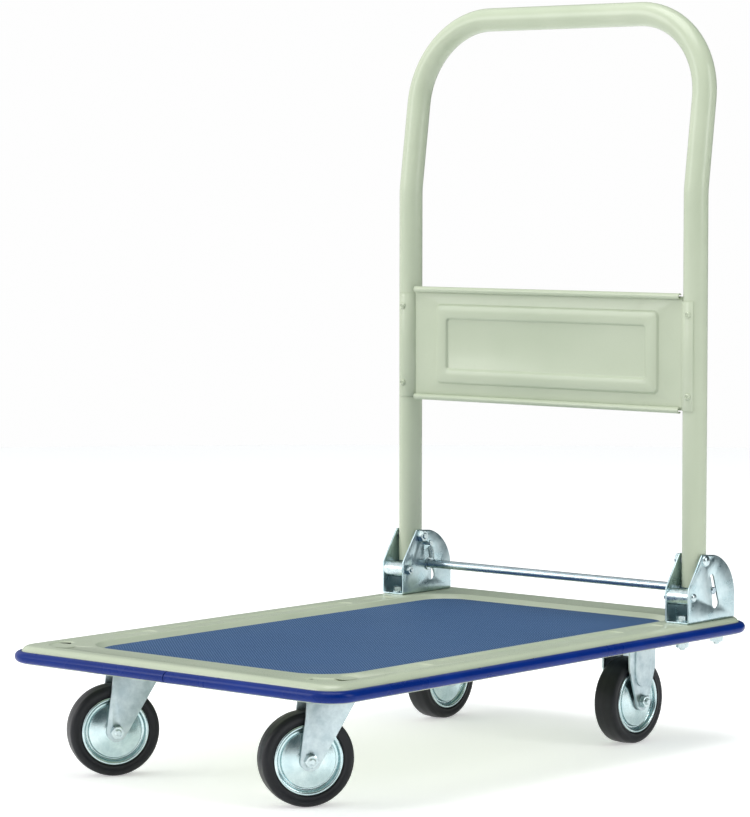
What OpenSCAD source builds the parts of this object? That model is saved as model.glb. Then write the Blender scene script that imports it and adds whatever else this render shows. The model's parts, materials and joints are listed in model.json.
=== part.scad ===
// Folding platform cart: a pressed steel deck on two swivel and two rigid casters, with a tubular push
// handle that folds down flat over the deck once the spring-loaded foot bar is pressed.
// Millimetres. X runs across the cart and Y along it, handle at +Y; the origin is on the floor under the deck.

/* [Deck] */
// Width of the cart across its bumper
deck_w = 480; // [430:5:600]
// Length of the cart across its bumper
deck_l = 740; // [700:5:900]
// Corner radius of the bumper
deck_r = 34; // [24:1:60]
// Thickness of the sheet steel in the deck and its cross members
sheet = 1.5; // [1.2:0.1:2]
// Height of the rim's flat top above the caster plates
deck_depth = 20; // [20:1:26]
// Width of the rim at the sides and the front, bumper included
rim_w = 66; // [62:1:80]
// Width of the rim at the handle end, bumper included
rim_rear_w = 70; // [62:1:90]
// Radius of the roll between the rim's top and the skirt
roll_r = 9; // [6:0.5:10]
// Depth of the well in which the mat lies
well_depth = 7.5; // [5:0.5:8]
// Run of the sloped wall around the well
well_run = 7.5; // [5:0.5:10]
// Width of the flange turned in under the skirt
lip_w = 7; // [5:0.5:8]
// Depth of the dimples pressed into the rim
dimple_depth = 1; // [0.5:0.1:1.2]
// Width of the dimples pressed into the rim
dimple_w = 20; // [14:1:24]
// Distance from the well's upper edge to the dimples
dimple_in = 8; // [6:0.5:12]

/* [Mat and bumper] */
// Thickness of the anti-slip mat
mat_t = 2.5; // [2:0.1:4]
// Corner radius of the mat
mat_r = 40; // [30:1:50]
// Gap between the mat and the well's wall
mat_gap = 0.5; // [0.3:0.1:2]
// How far the bumper stands out from the skirt
bumper_proud = 7; // [6:0.5:9]
// Height of the bumper
bumper_h = 12.4; // [10:0.2:13]

/* [Handle] */
// Height of the whole cart from the floor to the top of the handle
overall_h = 854; // [800:1:1050]
// Outer diameter of the handle's tube
tube_d = 28; // [25:1:32]
// Wall of the handle's tube
tube_wall = 1.5; // [1.2:0.1:2]
// Distance between the two legs of the handle, centre to centre
handle_span = 423; // [370:1:540]
// Distance from the cart's rear end to the handle's legs
handle_inset = 86; // [80:1:110]
// Height above the rim at which the legs bend back
kink_rise = 492; // [400:1:520]
// Angle by which the top of the handle leans back
lean = 8; // [4:0.5:12]
// Radius of the bends at the handle's top corners
bend_r = 100; // [80:1:120]

/* [Handle panel] */
// Height of the panel's lower edge above the rim
panel_rise = 237.5; // [180:0.5:260]
// Height of the panel
panel_h = 137.5; // [110:0.5:180]
// Thickness of the panel's sheet
panel_t = 1.2; // [1:0.1:1.5]
// Diameter of the rolled hems along the panel's edges
hem_d = 7.2; // [6:0.1:9]
// Height by which the panel's frame is pressed forward
frame_proud = 2.6; // [2:0.1:4]

/* [Hinge brackets] */
// Thickness of the bracket sheet
cheek_t = 2; // [1.5:0.1:3]
// Gap between the handle's leg and each cheek
cheek_gap = 0.5; // [0.4:0.1:1]
// Distance from the leg's centre to the cheeks' front edge
cheek_front = 33; // [30:1:38]
// Height of the cheeks' upright front edge
cheek_front_h = 40; // [36:1:44]
// Radius of the cheeks' round back
cheek_round = 51; // [46:1:56]
// Height of the handle's pivot above the rim
pivot_rise = 70; // [66:1:76]
// Diameter of the pivot bolts and of every M8 screw
bolt_d = 8; // [8:1:10]
// Outer diameter of the stop sleeves in front of the legs
stop_sleeve_d = 19; // [14:0.5:20]
// Height of the stop sleeves' axis above the rim
stop_rise = 30; // [26:1:32]

/* [Foot bar] */
// Diameter of the foot bar
bar_d = 10; // [8:0.5:12]
// Diameter of the foot bar's ends, which run in the slots
bar_end_d = 8.4; // [7:0.1:9]
// Width of the slots in the cheeks
slot_w = 10; // [9.6:0.1:11]
// Tilt of the slots from the vertical
slot_tilt = 14.5; // [8:0.5:18]
// Distance between the centres of a slot's two ends
slot_len = 27.9; // [26:0.1:30]
// How far down its slot the bar rests, held up against the legs
bar_rest = 14.5; // [13:0.1:16]
// Travel of the bar when it is pressed down
bar_travel = 13; // [8:0.5:13]
// Wire of the lock springs
spring_wire = 1; // [0.8:0.1:1.2]
// Outer diameter of the lock springs
spring_d = 6.5; // [6:0.1:7]

/* [Casters] */
// Height from the floor to the top of the caster plates
caster_h = 124; // [122:1:130]
// Diameter of the wheels
wheel_d = 100; // [90:1:100]
// Width of the tyres
tyre_w = 29; // [24:1:32]
// Distance between the left and right casters
caster_span = 281; // [240:1:330]
// Distance from the front end to the swivel casters' pins
front_inset = 120; // [115:1:140]
// Distance from the rear end to the rigid casters' axles
rear_inset = 114; // [105:1:140]
// Trail of the swivel casters
trail = 36; // [30:1:40]
// Angle to which the swivel casters are turned at rest
rest_turn = 33; // [-90:1:90]
// Thickness of the caster forks and plates
fork_t = 2.5; // [2:0.1:3]
// Gap between the tyre and each fork cheek
fork_gap = 3; // [2:0.5:5]
// Radius of the round end of each fork
fork_end_r = 11; // [9:0.5:13]

/* [Hidden] */
$fn = 96;
eps = 0.01;
run_gap = 0.05;         // radial gap of a running fit

// colours
cream = [0.80, 0.86, 0.77];
blue = [0.02, 0.12, 0.55];
mat_blue = [0.20, 0.32, 0.50];
zinc = [0.66, 0.74, 0.76];
steel = [0.55, 0.58, 0.60];
rubber = [0.06, 0.07, 0.08];

// deck
rim_z = caster_h + deck_depth;
skirt_w = deck_w - 2*bumper_proud;
skirt_l = deck_l - 2*bumper_proud;
skirt_r = deck_r - bumper_proud;
skirt_z = caster_h + 1;
bumper_z = skirt_z + 1 + bumper_h/2;
bumper_r = (bumper_h*bumper_h/4 + bumper_proud*bumper_proud)/(2*bumper_proud);
seam_w = 0.8;
mat_w = deck_w - 2*rim_w;
mat_l = deck_l - rim_w - rim_rear_w;
mat_y = (rim_w - rim_rear_w)/2;
well_w = mat_w + 2*mat_gap;
well_l = mat_l + 2*mat_gap;
well_r = mat_r + mat_gap;
well_z = rim_z - well_depth;
dimple_x = well_w/2 + well_run + dimple_in + dimple_w/2;
dimple_r = 7;
short_dimple = 54;
dimple_space = 22;
elbow_inset = 53;
elbow_in = 13;
elbow_out = 33;

// cross members under the deck
member_w = 120;
member_flange = 12;
member_x = 190;
stiffener_w = 60;

// handle
leg_x = handle_span/2;
leg_y = deck_l/2 - handle_inset;
pivot_z = rim_z + pivot_rise;
kink_r = 80;
kink_z = rim_z + kink_rise - kink_r*tan(lean/2);
lean_z = kink_z + kink_r*sin(lean);
lean_y = leg_y + kink_r*(1 - cos(lean));
leg_top = (overall_h - tube_d/2 - lean_z)/cos(lean) - bend_r;
bush_d = bolt_d + 4;

// hinge brackets, measured from the leg's centre (y) and the rim (z)
cheek_in = tube_d/2 + cheek_gap;
cheek_out = cheek_in + cheek_t;
round_y = 7;
round_z = 26;
cheek_back = round_y + cheek_round - 0.25;
brow = [-7.3, round_z + cheek_round + 1];
top_slope = 0.07;
base_bolt_y = [-cheek_front + 11, cheek_back - 12];
stop_d = 6;
stop_gap = 0.3;
stop_y = -(tube_d + stop_sleeve_d)/2 - stop_gap;

// foot bar, in the same measures as the brackets
slot_dir = [sin(slot_tilt), -cos(slot_tilt)];
slot_top = [12, 49];
slot_bottom = slot_top + slot_len*slot_dir;
slot_pocket_r = slot_w/2 + 1.5;
bar_at = slot_top + bar_rest*slot_dir;
heel_gap = 0.6;
heel_reach = norm(bar_at - [0, pivot_rise]) - bar_end_d/2 - heel_gap;
heel_drop = sqrt(heel_reach*heel_reach - tube_d*tube_d/4);
inner_face_x = leg_x - cheek_out;
outer_face_x = leg_x + cheek_out;
washer_t = 1.2;
bar_shoulder_x = inner_face_x - washer_t - 0.2;

// lock springs
spring_len = 26.5;
stud_at = bar_at - spring_len*slot_dir;
stud_d = 5;
stud_head = 1.2;
spring_x = inner_face_x - spring_d/2 - 3.1;
stud_len = inner_face_x - spring_x + 2.4;
hook_gap = 0.15;

// fasteners
m8_flat = 1.625*bolt_d;
m8_nut_h = 6.5;
m8_head_h = 5.3;
m6_flat = 10;
m6_nut_h = 5;
hole_gap = 0.5;         // radial gap of a through hole
base_washer_t = 1.6;
backing_half = bolt_d + 3.5;
backing_gap = 0.3;
spacer_d = bolt_d + 6;

// casters
wheel_r = wheel_d/2;
front_y = -(deck_l/2 - front_inset);
rear_y = deck_l/2 - rear_inset;
caster_x = caster_span/2;
plate_z = caster_h - fork_t;
plate_size = [85, 105];
plate_bolts = [30, 40];
fork_in = tyre_w/2 + fork_gap;
fork_out = fork_in + fork_t;
crown_z = caster_h - 11;
crown_r = 24;
rigid_half = 24.5;
rigid_shoulder_z = 88;
rib_half = 15;
rib_end_z = 82;
rib_proud = 2;
fork_front = -trail - 3;
fork_rear = 13;
pin_d = 12;
pin_head_d = 22;
race_r = 18;
ball_d = 5;
ball_z = (crown_z + plate_z)/2;
balls = 16;
axle_d = 12;
hub_d = 20;
hub_end_gap = 0.3;

// wheels
dome_r = 29.3;
dome_rise = 4;
dome_edge = 11.5;
rim_t = 1.2;
groove_depth = 8;
bead_r = 2.25;
bead_at = 35.25;
tyre_gap = 0.1;
shoulder_r = 5;

// 2D shapes
module rrect(w, l, r) {
    square([w - 2*r, l], center = true);
    square([w, l - 2*r], center = true);
    for (x = [-1, 1], y = [-1, 1])
        translate([x*(w/2 - r), y*(l/2 - r)]) circle(r);
}

// the point where a line from p touches the circle of radius r about c, on the given side
function tangent(c, r, p, side) =
    let (d = p - c, a = atan2(d[1], d[0]) + side*acos(r/norm(d))) c + r*[cos(a), sin(a)];

// a profile swept round a rounded rectangle: the profile's x runs outwards from that outline, its y is height
module around(w, l, r) {
    for (k = [0:3]) {
        across = k % 2 == 0 ? w : l;
        along = k % 2 == 0 ? l : w;
        rotate([0, 0, 90*k]) {
            translate([across/2, along/2 - r, 0]) rotate([90, 0, 0])
                linear_extrude(along - 2*r) children();
            translate([across/2 - r, along/2 - r, 0])
                rotate_extrude(angle = 90) translate([r, 0]) children();
        }
    }
}

// extrusions along X and Y of a shape drawn in (y, z) and in (x, z)
module along_x(x0, x1) { translate([x0, 0, 0]) rotate([90, 0, 90]) linear_extrude(x1 - x0) children(); }
module along_y(y0, y1) { translate([0, y1, 0]) rotate([90, 0, 0]) linear_extrude(y1 - y0) children(); }

module rod_x(d, x0, x1) { translate([x0, 0, 0]) rotate([0, 90, 0]) cylinder(d = d, h = x1 - x0); }
module hex(flat, h) { cylinder(d = flat/cos(30), h = h, $fn = 6); }
module dome(r, h) {
    ball = (r*r + h*h)/(2*h);
    intersection() {
        translate([0, 0, h - ball]) sphere(ball);
        cylinder(r = r, h = h);
    }
}
module both_sides() {
    children();
    mirror([1, 0, 0]) children();
}
module nut(flat, h, d) {
    difference() {
        hex(flat, h);
        translate([0, 0, -1]) cylinder(d = d + 2*run_gap, h = h + 2);
    }
}
module ring(d_out, d_in, h) {
    difference() {
        cylinder(d = d_out, h = h);
        translate([0, 0, -1]) cylinder(d = d_in, h = h + 2);
    }
}

// deck
module dimple_outline(l, grow) { rrect(dimple_w + 2*grow, l + 2*grow, dimple_r + grow); }
module elbow_outline(grow) {
    intersection() {
        difference() {
            circle(elbow_out + grow);
            circle(elbow_in - grow);
        }
        translate([-grow, -grow]) square(elbow_out + 2*grow);
    }
}
module rim_dimples(grow) {
    run = leg_y - cheek_front - 20;
    long = 2*(run - short_dimple - dimple_space);
    for (x = [-1, 1]) {
        translate([x*dimple_x, 0]) dimple_outline(long, grow);
        for (y = [-1, 1])
            translate([x*dimple_x, y*(run - short_dimple/2)]) dimple_outline(short_dimple, grow);
        translate([x*(skirt_w/2 - elbow_inset), -(skirt_l/2 - elbow_inset)])
            mirror([x < 0 ? 1 : 0, 0]) mirror([0, 1]) elbow_outline(grow);
    }
}
module rim_profile() {
    translate([-roll_r, rim_z - roll_r]) intersection() {
        difference() {
            circle(roll_r);
            circle(roll_r - sheet);
        }
        square(roll_r);
    }
    translate([-sheet, skirt_z]) square([sheet, rim_z - roll_r - skirt_z]);
    translate([-lip_w, skirt_z]) square([lip_w, sheet]);
}
module well_profile() {
    polygon([[0, well_z - sheet], [0, well_z], [well_run, rim_z], [well_run, rim_z - sheet]]);
}
module bracket_holes(d, z0, z1) {
    both_sides()
        for (y = base_bolt_y)
            translate([leg_x, leg_y + y, z0]) cylinder(d = d, h = z1 - z0);
}
module deck_pan() {
    color(cream) difference() {
        union() {
            around(skirt_w, skirt_l, skirt_r) rim_profile();
            translate([0, mat_y, 0]) around(well_w, well_l, well_r) well_profile();
            translate([0, mat_y, well_z - sheet]) linear_extrude(sheet) rrect(well_w, well_l, well_r);
            translate([0, 0, rim_z - sheet]) linear_extrude(sheet) difference() {
                rrect(skirt_w - 2*roll_r, skirt_l - 2*roll_r, skirt_r - roll_r);
                translate([0, mat_y]) rrect(well_w + 2*well_run, well_l + 2*well_run, well_r + well_run);
                rim_dimples(0);
            }
            translate([0, 0, rim_z - sheet - dimple_depth]) difference() {
                linear_extrude(sheet + dimple_depth - 0.2) rim_dimples(sheet);
                translate([0, 0, sheet]) linear_extrude(sheet) rim_dimples(0);
            }
        }
        bracket_holes(bolt_d + 2*hole_gap, rim_z - 5, rim_z + 5);
    }
}
module member_profile(w) {
    top = well_z - sheet;
    translate([-w/2, caster_h]) square([w, sheet]);
    for (s = [-1, 1]) {
        translate([s*(w - sheet)/2 - sheet/2, caster_h]) square([sheet, top - caster_h]);
        translate([s*(w + member_flange)/2 - (member_flange + 2*sheet)/2, top - sheet])
            square([member_flange + 2*sheet, sheet]);
    }
}
module caster_bolt_places(y) {
    for (x = [-1, 1], dx = [-1, 1], dy = [-1, 1])
        translate([x*caster_x + dx*plate_bolts[0], y + dy*plate_bolts[1], 0]) children();
}
module caster_crossmember(y) {
    color(cream) difference() {
        translate([0, y, 0]) along_x(-member_x, member_x) member_profile(member_w);
        caster_bolt_places(y) translate([0, 0, caster_h - 1]) cylinder(d = bolt_d + 2*hole_gap, h = sheet + 2);
    }
}
module front_crossmember() { caster_crossmember(front_y); }
module rear_crossmember() { caster_crossmember(rear_y); }
module centre_stiffener() {
    color(cream) translate([0, (front_y + rear_y)/2, 0])
        along_x(-member_x, member_x) member_profile(stiffener_w);
}
module bracket_backings() {
    inside = roll_r + backing_gap;
    color(cream) difference() {
        intersection() {
            both_sides() translate([leg_x, leg_y, 0]) along_y(-cheek_front, cheek_back) {
                translate([-backing_half, caster_h]) square([2*backing_half, sheet]);
                for (s = [-1, 1])
                    translate([s*(backing_half - sheet/2) - sheet/2, caster_h])
                        square([sheet, deck_depth - sheet]);
            }
            linear_extrude(rim_z) rrect(skirt_w - 2*inside, skirt_l - 2*inside, skirt_r - inside);
        }
        bracket_holes(bolt_d + 2*hole_gap, caster_h - 1, caster_h + sheet + 1);
    }
}
module bumper_strip() {
    color(blue) difference() {
        around(skirt_w, skirt_l, skirt_r) intersection() {
            translate([bumper_proud - bumper_r, bumper_z]) circle(bumper_r);
            translate([0, bumper_z - bumper_h/2]) square([bumper_proud, bumper_h]);
        }
        translate([-seam_w/2, -deck_l/2 - 1, 0]) cube([seam_w, bumper_proud + 2, rim_z]);
    }
}
module deck_mat() {
    color(mat_blue) translate([0, mat_y, well_z]) linear_extrude(mat_t) rrect(mat_w, mat_l, mat_r);
}

// hinge brackets
module cheek_outline() {
    difference() {
        polygon([[-cheek_front, 0], [-cheek_front, cheek_front_h], brow,
            [cheek_back, brow[1] - top_slope*(cheek_back - brow[0])], [cheek_back, 0]]);
        difference() {
            translate([round_y + 3, round_z + 3]) square(cheek_round);
            translate([round_y, round_z]) circle(cheek_round);
        }
    }
}
module channel_section(half, t, r, h) {
    difference() {
        union() {
            translate([-half, r]) square([2*half, h - r]);
            translate([-half + r, 0]) square([2*(half - r), r]);
            for (s = [-1, 1]) translate([s*(half - r), r]) circle(r);
        }
        translate([-(half - t), t]) square([2*(half - t), h]);
    }
}
module slot_cut() {
    translate(slot_top) circle(r = slot_w/2 + 0.02);
    translate(slot_top) rotate(slot_tilt) translate([-slot_w/2, -slot_len]) square([slot_w, slot_len]);
    translate(slot_bottom + [1, -1.5]) circle(slot_pocket_r);
}
module hinge_bracket() {
    translate([leg_x, leg_y, rim_z]) difference() {
        intersection() {
            along_y(-cheek_front - 1, cheek_back + 1) channel_section(cheek_out, cheek_t, 3, 90);
            along_x(-cheek_out - 1, cheek_out + 1) cheek_outline();
        }
        along_x(-cheek_out - 1, cheek_out + 1) slot_cut();
        translate([0, 0, pivot_rise]) rod_x(bolt_d + 0.3, -cheek_out - 1, cheek_out + 1);
        translate([0, stop_y, stop_rise]) rod_x(stop_d + 0.3, -cheek_out - 1, cheek_out + 1);
        translate([0, stud_at[0], stud_at[1]]) rod_x(stud_d, -cheek_out - 1, 0);
        for (y = base_bolt_y)
            translate([0, y, -1]) cylinder(d = bolt_d + 2*hole_gap, h = cheek_t + 2);
    }
}
module hinge_bracket_left() { color(zinc) mirror([1, 0, 0]) hinge_bracket(); }
module hinge_bracket_right() { color(zinc) hinge_bracket(); }

module at_base_bolts(z) {
    both_sides() for (y = base_bolt_y) translate([leg_x, leg_y + y, z]) children();
}
module bracket_bolts() {
    head_z = rim_z + cheek_t + base_washer_t;
    end_z = caster_h - base_washer_t - m8_nut_h - 1;
    color(zinc) {
        at_base_bolts(head_z) hex(m8_flat, m8_head_h);
        at_base_bolts(end_z) cylinder(d = bolt_d, h = head_z - end_z);
    }
}
module bracket_washers() {
    color(zinc) {
        at_base_bolts(rim_z + cheek_t) ring(2*bolt_d, bolt_d + 0.4, base_washer_t);
        at_base_bolts(caster_h - base_washer_t) ring(2*bolt_d, bolt_d + 0.4, base_washer_t);
    }
}
module bracket_nuts() {
    color(zinc) at_base_bolts(caster_h - base_washer_t - m8_nut_h) nut(m8_flat, m8_nut_h, bolt_d);
}
module bracket_spacers() {
    z0 = caster_h + sheet;
    color(steel) at_base_bolts(z0) ring(spacer_d, bolt_d + 0.4, rim_z - sheet - z0);
}
module at_pivots() { both_sides() translate([leg_x, leg_y, pivot_z]) children(); }
module at_stops() { both_sides() translate([leg_x, leg_y + stop_y, rim_z + stop_rise]) children(); }
module pivot_bolts() {
    color(zinc) at_pivots() {
        rod_x(bolt_d, -cheek_out - m8_nut_h - 1, cheek_out + eps);
        translate([cheek_out, 0, 0]) rotate([0, 90, 0]) dome(6.5, 3.6);
    }
}
module pivot_nuts() {
    color(zinc) at_pivots() translate([-cheek_out - m8_nut_h, 0, 0]) rotate([0, 90, 0])
        nut(m8_flat, m8_nut_h, bolt_d);
}
module stop_bolts() {
    color(zinc) at_stops() {
        rod_x(stop_d, -cheek_out - m6_nut_h - 1, cheek_out + eps);
        translate([cheek_out, 0, 0]) rotate([0, 90, 0]) dome(5, 2.6);
    }
}
module stop_nuts() {
    color(zinc) at_stops() translate([-cheek_out - m6_nut_h, 0, 0]) rotate([0, 90, 0])
        nut(m6_flat, m6_nut_h, stop_d);
}
module stop_sleeves() {
    color(zinc) at_stops() difference() {
        rod_x(stop_sleeve_d, -cheek_in, cheek_in);
        rod_x(stop_d + 0.4, -cheek_in - 1, cheek_in + 1);
    }
}
module spring_studs() {
    color(zinc) both_sides() translate([0, leg_y + stud_at[0], rim_z + stud_at[1]]) {
        rod_x(stud_d, inner_face_x - stud_len, inner_face_x + cheek_t);
        rod_x(stud_d + 2, inner_face_x - stud_len - stud_head, inner_face_x - stud_len + eps);
    }
}

// handle
module handle_solid(d, below) {
    heel_z = pivot_z - heel_drop - below;
    both_sides() {
        translate([leg_x, leg_y, heel_z]) cylinder(d = d, h = kink_z - heel_z);
        translate([leg_x, leg_y + kink_r, kink_z]) rotate([90, 0, -90])
            rotate_extrude(angle = lean) translate([kink_r, 0]) circle(d = d);
        translate([0, lean_y, lean_z]) rotate([-lean, 0, 0]) {
            translate([leg_x, 0, 0]) cylinder(d = d, h = leg_top);
            translate([leg_x - bend_r, 0, leg_top]) rotate([90, 0, 0])
                rotate_extrude(angle = 90) translate([bend_r, 0]) circle(d = d);
            translate([0, 0, leg_top + bend_r]) rod_x(d, 0, leg_x - bend_r);
        }
    }
}
module at_rivets() {
    both_sides()
        for (z = [rim_z + panel_rise + 20, rim_z + panel_rise + panel_h - 24])
            translate([leg_x, leg_y, z]) children();
}
rivet_d = 4;
tab_gap = 0.1;
module handle_tube() {
    color(cream) difference() {
        handle_solid(tube_d, 0);
        handle_solid(tube_d - 2*tube_wall, 1);
        at_pivots() rod_x(bush_d + 2*run_gap, -tube_d, tube_d);
        at_rivets() rotate([90, 0, 0]) cylinder(d = rivet_d + 2*run_gap, h = tube_d);
    }
}
module pivot_bushes() {
    color(steel) at_pivots() difference() {
        rod_x(bush_d, -tube_d/2, tube_d/2);
        rod_x(bolt_d + 2*run_gap, -tube_d, tube_d);
    }
}
panel_y = leg_y - 6.4;
tab_in = tube_d/2 + tab_gap;
tab_out = tab_in + panel_t;
face_half = leg_x - sqrt(pow((tab_in + tab_out)/2, 2) - pow(panel_y - leg_y, 2));
frame_out = [332, panel_h - 41];
frame_in = [294, panel_h - 79.5];
module sheet_y(y0, y1) { translate([0, y1, rim_z + panel_rise + panel_h/2]) rotate([90, 0, 0]) linear_extrude(y1 - y0) children(); }
module handle_panel() {
    front = panel_y - panel_t/2;
    back = panel_y + panel_t/2;
    scale_out = [frame_out[0] + handle_span - 423, frame_out[1]];
    scale_in = [frame_in[0] + handle_span - 423, frame_in[1]];
    tab_from = 23;
    tab_to = 116;
    color(cream) difference() {
        union() {
            difference() {
                sheet_y(front, back) square([2*face_half, panel_h - hem_d], center = true);
                sheet_y(front - 1, back + 1) difference() {
                    rrect(scale_out[0] - 2*panel_t, scale_out[1] - 2*panel_t, 8 - panel_t);
                    rrect(scale_in[0] + 2*panel_t, scale_in[1] + 2*panel_t, 6 + panel_t);
                }
            }
            difference() {
                sheet_y(front - frame_proud, front) difference() {
                    rrect(scale_out[0], scale_out[1], 8);
                    rrect(scale_in[0], scale_in[1], 6);
                }
                sheet_y(front - frame_proud + panel_t, front + 1) difference() {
                    rrect(scale_out[0] - 2*panel_t, scale_out[1] - 2*panel_t, 8 - panel_t);
                    rrect(scale_in[0] + 2*panel_t, scale_in[1] + 2*panel_t, 6 + panel_t);
                }
            }
            for (s = [0, 1])
                translate([0, panel_y - hem_d/2 + panel_t/2, rim_z + panel_rise + hem_d/2 + s*(panel_h - hem_d)])
                    difference() {
                        rod_x(hem_d, -face_half + 2, face_half - 2);
                        rod_x(hem_d - 2*panel_t, -face_half, face_half);
                    }
            both_sides() translate([leg_x, leg_y, rim_z + panel_rise + 3.5])
                rotate([0, 0, 180 + tab_from]) rotate_extrude(angle = tab_to - tab_from)
                    translate([tab_in, 0]) square([panel_t, panel_h - 13]);
        }
        at_rivets() rotate([90, 0, 0]) cylinder(d = rivet_d + 2*run_gap, h = tube_d);
    }
}
module panel_rivets() {
    head_y = tab_out + 0.1;
    color(cream) at_rivets() rotate([90, 0, 0]) {
        translate([0, 0, head_y]) dome(3.6, 1.8);
        translate([0, 0, tube_d/2 - tube_wall - 2.5]) cylinder(d = rivet_d, h = head_y - tube_d/2 + tube_wall + 2.5 + eps);
        translate([0, 0, tube_d/2 - tube_wall - 2.5]) cylinder(d = rivet_d + 2.4, h = 2);
    }
}

// foot bar and its springs
module at_bar() { translate([0, leg_y + bar_at[0], rim_z + bar_at[1]]) children(); }
module lock_bar() {
    color(zinc) at_bar() {
        rod_x(bar_d, -bar_shoulder_x, bar_shoulder_x);
        both_sides() rod_x(bar_end_d, bar_shoulder_x - eps, outer_face_x + 1);
    }
}
module bar_washers() {
    color(zinc) at_bar() both_sides() difference() {
        rod_x(bar_d + 6, bar_shoulder_x + 0.05, bar_shoulder_x + 0.05 + washer_t);
        rod_x(bar_end_d + 2*run_gap, 0, leg_x);
    }
}

// a wire of n sides along a path, its section turned along without twist
function unit(v) = v/norm(v);
function path_dir(p, i) = unit(p[min(i + 1, len(p) - 1)] - p[max(i - 1, 0)]);
function carried(n, t) = unit(n - (n*t)*t);
function frames(p, n0) = [for (i = 0, n = carried(n0, path_dir(p, 0)); i < len(p);
    i = i + 1, n = i < len(p) ? carried(n, path_dir(p, i)) : n) n];
module wire(p, d, sides, n0) {
    u = frames(p, n0);
    points = [for (i = [0:len(p) - 1], k = [0:sides - 1])
        let (t = path_dir(p, i), v = cross(t, u[i]), a = 360*k/sides)
            p[i] + d/2*(cos(a)*u[i] + sin(a)*v)];
    sides_faces = [for (i = [0:len(p) - 2], k = [0:sides - 1])
        let (a = i*sides + k, b = i*sides + (k + 1) % sides) [a + sides, b + sides, b, a]];
    ends = [[for (k = [0:sides - 1]) k], [for (k = [sides - 1:-1:0]) (len(p) - 1)*sides + k]];
    polyhedron(points, concat(sides_faces, ends));
}
function hook(c, r, a0, a1, n) = [for (i = [0:n]) let (a = a0 + (a1 - a0)*i/n) [0, r*cos(a), c + r*sin(a)]];
module lock_spring() {
    coil_r = (spring_d - spring_wire)/2;
    bar_hook = bar_d/2 + spring_wire/2 + hook_gap;
    stud_hook = stud_d/2 + spring_wire/2 + hook_gap;
    z0 = bar_hook + 2;
    z1 = spring_len - stud_hook - 1.6;
    steps = 12;
    turns = floor((z1 - z0)/(1.18*spring_wire));
    coil = [for (i = [0:turns*steps]) let (a = 360*i/steps)
        [coil_r*sin(a), coil_r*cos(a), z0 + (z1 - z0)*i/(turns*steps)]];
    path = concat(hook(0, bar_hook, -150, 55, 14), coil, hook(spring_len, stud_hook, -55, 190, 14));
    translate([spring_x, leg_y + bar_at[0], rim_z + bar_at[1]]) rotate([slot_tilt, 0, 0])
        wire(path, spring_wire, 6, [1, 0, 0]);
}
module lock_spring_left() { color(zinc) mirror([1, 0, 0]) lock_spring(); }
module lock_spring_right() { color(zinc) lock_spring(); }

// casters
module plate_with_holes() {
    difference() {
        translate([0, 0, plate_z]) linear_extrude(fork_t) rrect(plate_size[0], plate_size[1], 8);
        for (x = [-1, 1], y = [-1, 1])
            translate([x*plate_bolts[0], y*plate_bolts[1], plate_z - 1]) cylinder(d = bolt_d + 2*hole_gap, h = fork_t + 2);
    }
}
module caster_bolts() {
    color(zinc) for (y = [front_y, rear_y]) caster_bolt_places(y) {
        translate([0, 0, plate_z - m8_head_h]) hex(m8_flat, m8_head_h);
        translate([0, 0, plate_z - eps]) cylinder(d = bolt_d, h = fork_t + sheet + m8_nut_h + 1);
    }
}
module caster_weld_nuts() {
    color(steel) for (y = [front_y, rear_y]) caster_bolt_places(y)
        translate([0, 0, caster_h + sheet]) nut(m8_flat, m8_nut_h, bolt_d);
}
module axle_hole() { translate([0, 0, wheel_r]) rod_x(bolt_d + 0.3, -fork_out - 3, fork_out + 3); }
module rigid_fork() {
    end = [0, wheel_r];
    left = [-rigid_half, rigid_shoulder_z];
    right = [rigid_half, rigid_shoulder_z];
    difference() {
        union() {
            plate_with_holes();
            for (s = [0, 1]) mirror([s, 0, 0]) difference() {
                union() {
                    along_x(fork_in, fork_out) {
                        polygon([[-rigid_half, plate_z], left, tangent(end, fork_end_r, left, 1),
                            tangent(end, fork_end_r, right, -1), right, [rigid_half, plate_z]]);
                        translate(end) circle(fork_end_r);
                    }
                    along_x(fork_out - eps, fork_out + rib_proud) {
                        translate([0, rib_end_z]) circle(rib_half);
                        translate([-rib_half, rib_end_z]) square([2*rib_half, plate_z - rib_end_z]);
                    }
                }
                along_x(fork_in - 1, fork_in + rib_proud) {
                    translate([0, rib_end_z]) circle(rib_half - fork_t + 0.5);
                    translate([-rib_half + fork_t - 0.5, rib_end_z])
                        square([2*(rib_half - fork_t + 0.5), plate_z - rib_end_z]);
                }
            }
        }
        axle_hole();
    }
}
module rigid_fork_left() { color(zinc) translate([-caster_x, rear_y, 0]) rigid_fork(); }
module rigid_fork_right() { color(zinc) translate([caster_x, rear_y, 0]) rigid_fork(); }

module axle_sleeve() {
    difference() {
        rod_x(axle_d, -fork_in, fork_in);
        rod_x(bolt_d + 2*run_gap, -fork_in - 1, fork_in + 1);
    }
}
module axle_bolt() {
    rod_x(bolt_d, -fork_out - eps, fork_out + m8_nut_h + 2.5);
    translate([-fork_out - m8_head_h, 0, 0]) rotate([0, 90, 0]) hex(m8_flat, m8_head_h);
}
module axle_nut() { translate([fork_out, 0, 0]) rotate([0, 90, 0]) nut(m8_flat, m8_nut_h, bolt_d); }
module at_rigid_axles() { for (x = [-caster_x, caster_x]) translate([x, rear_y, wheel_r]) children(); }
module rigid_axle_sleeves() { color(steel) at_rigid_axles() axle_sleeve(); }
module rigid_axle_bolts() { color(zinc) at_rigid_axles() axle_bolt(); }
module rigid_axle_nuts() { color(zinc) at_rigid_axles() axle_nut(); }

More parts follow.
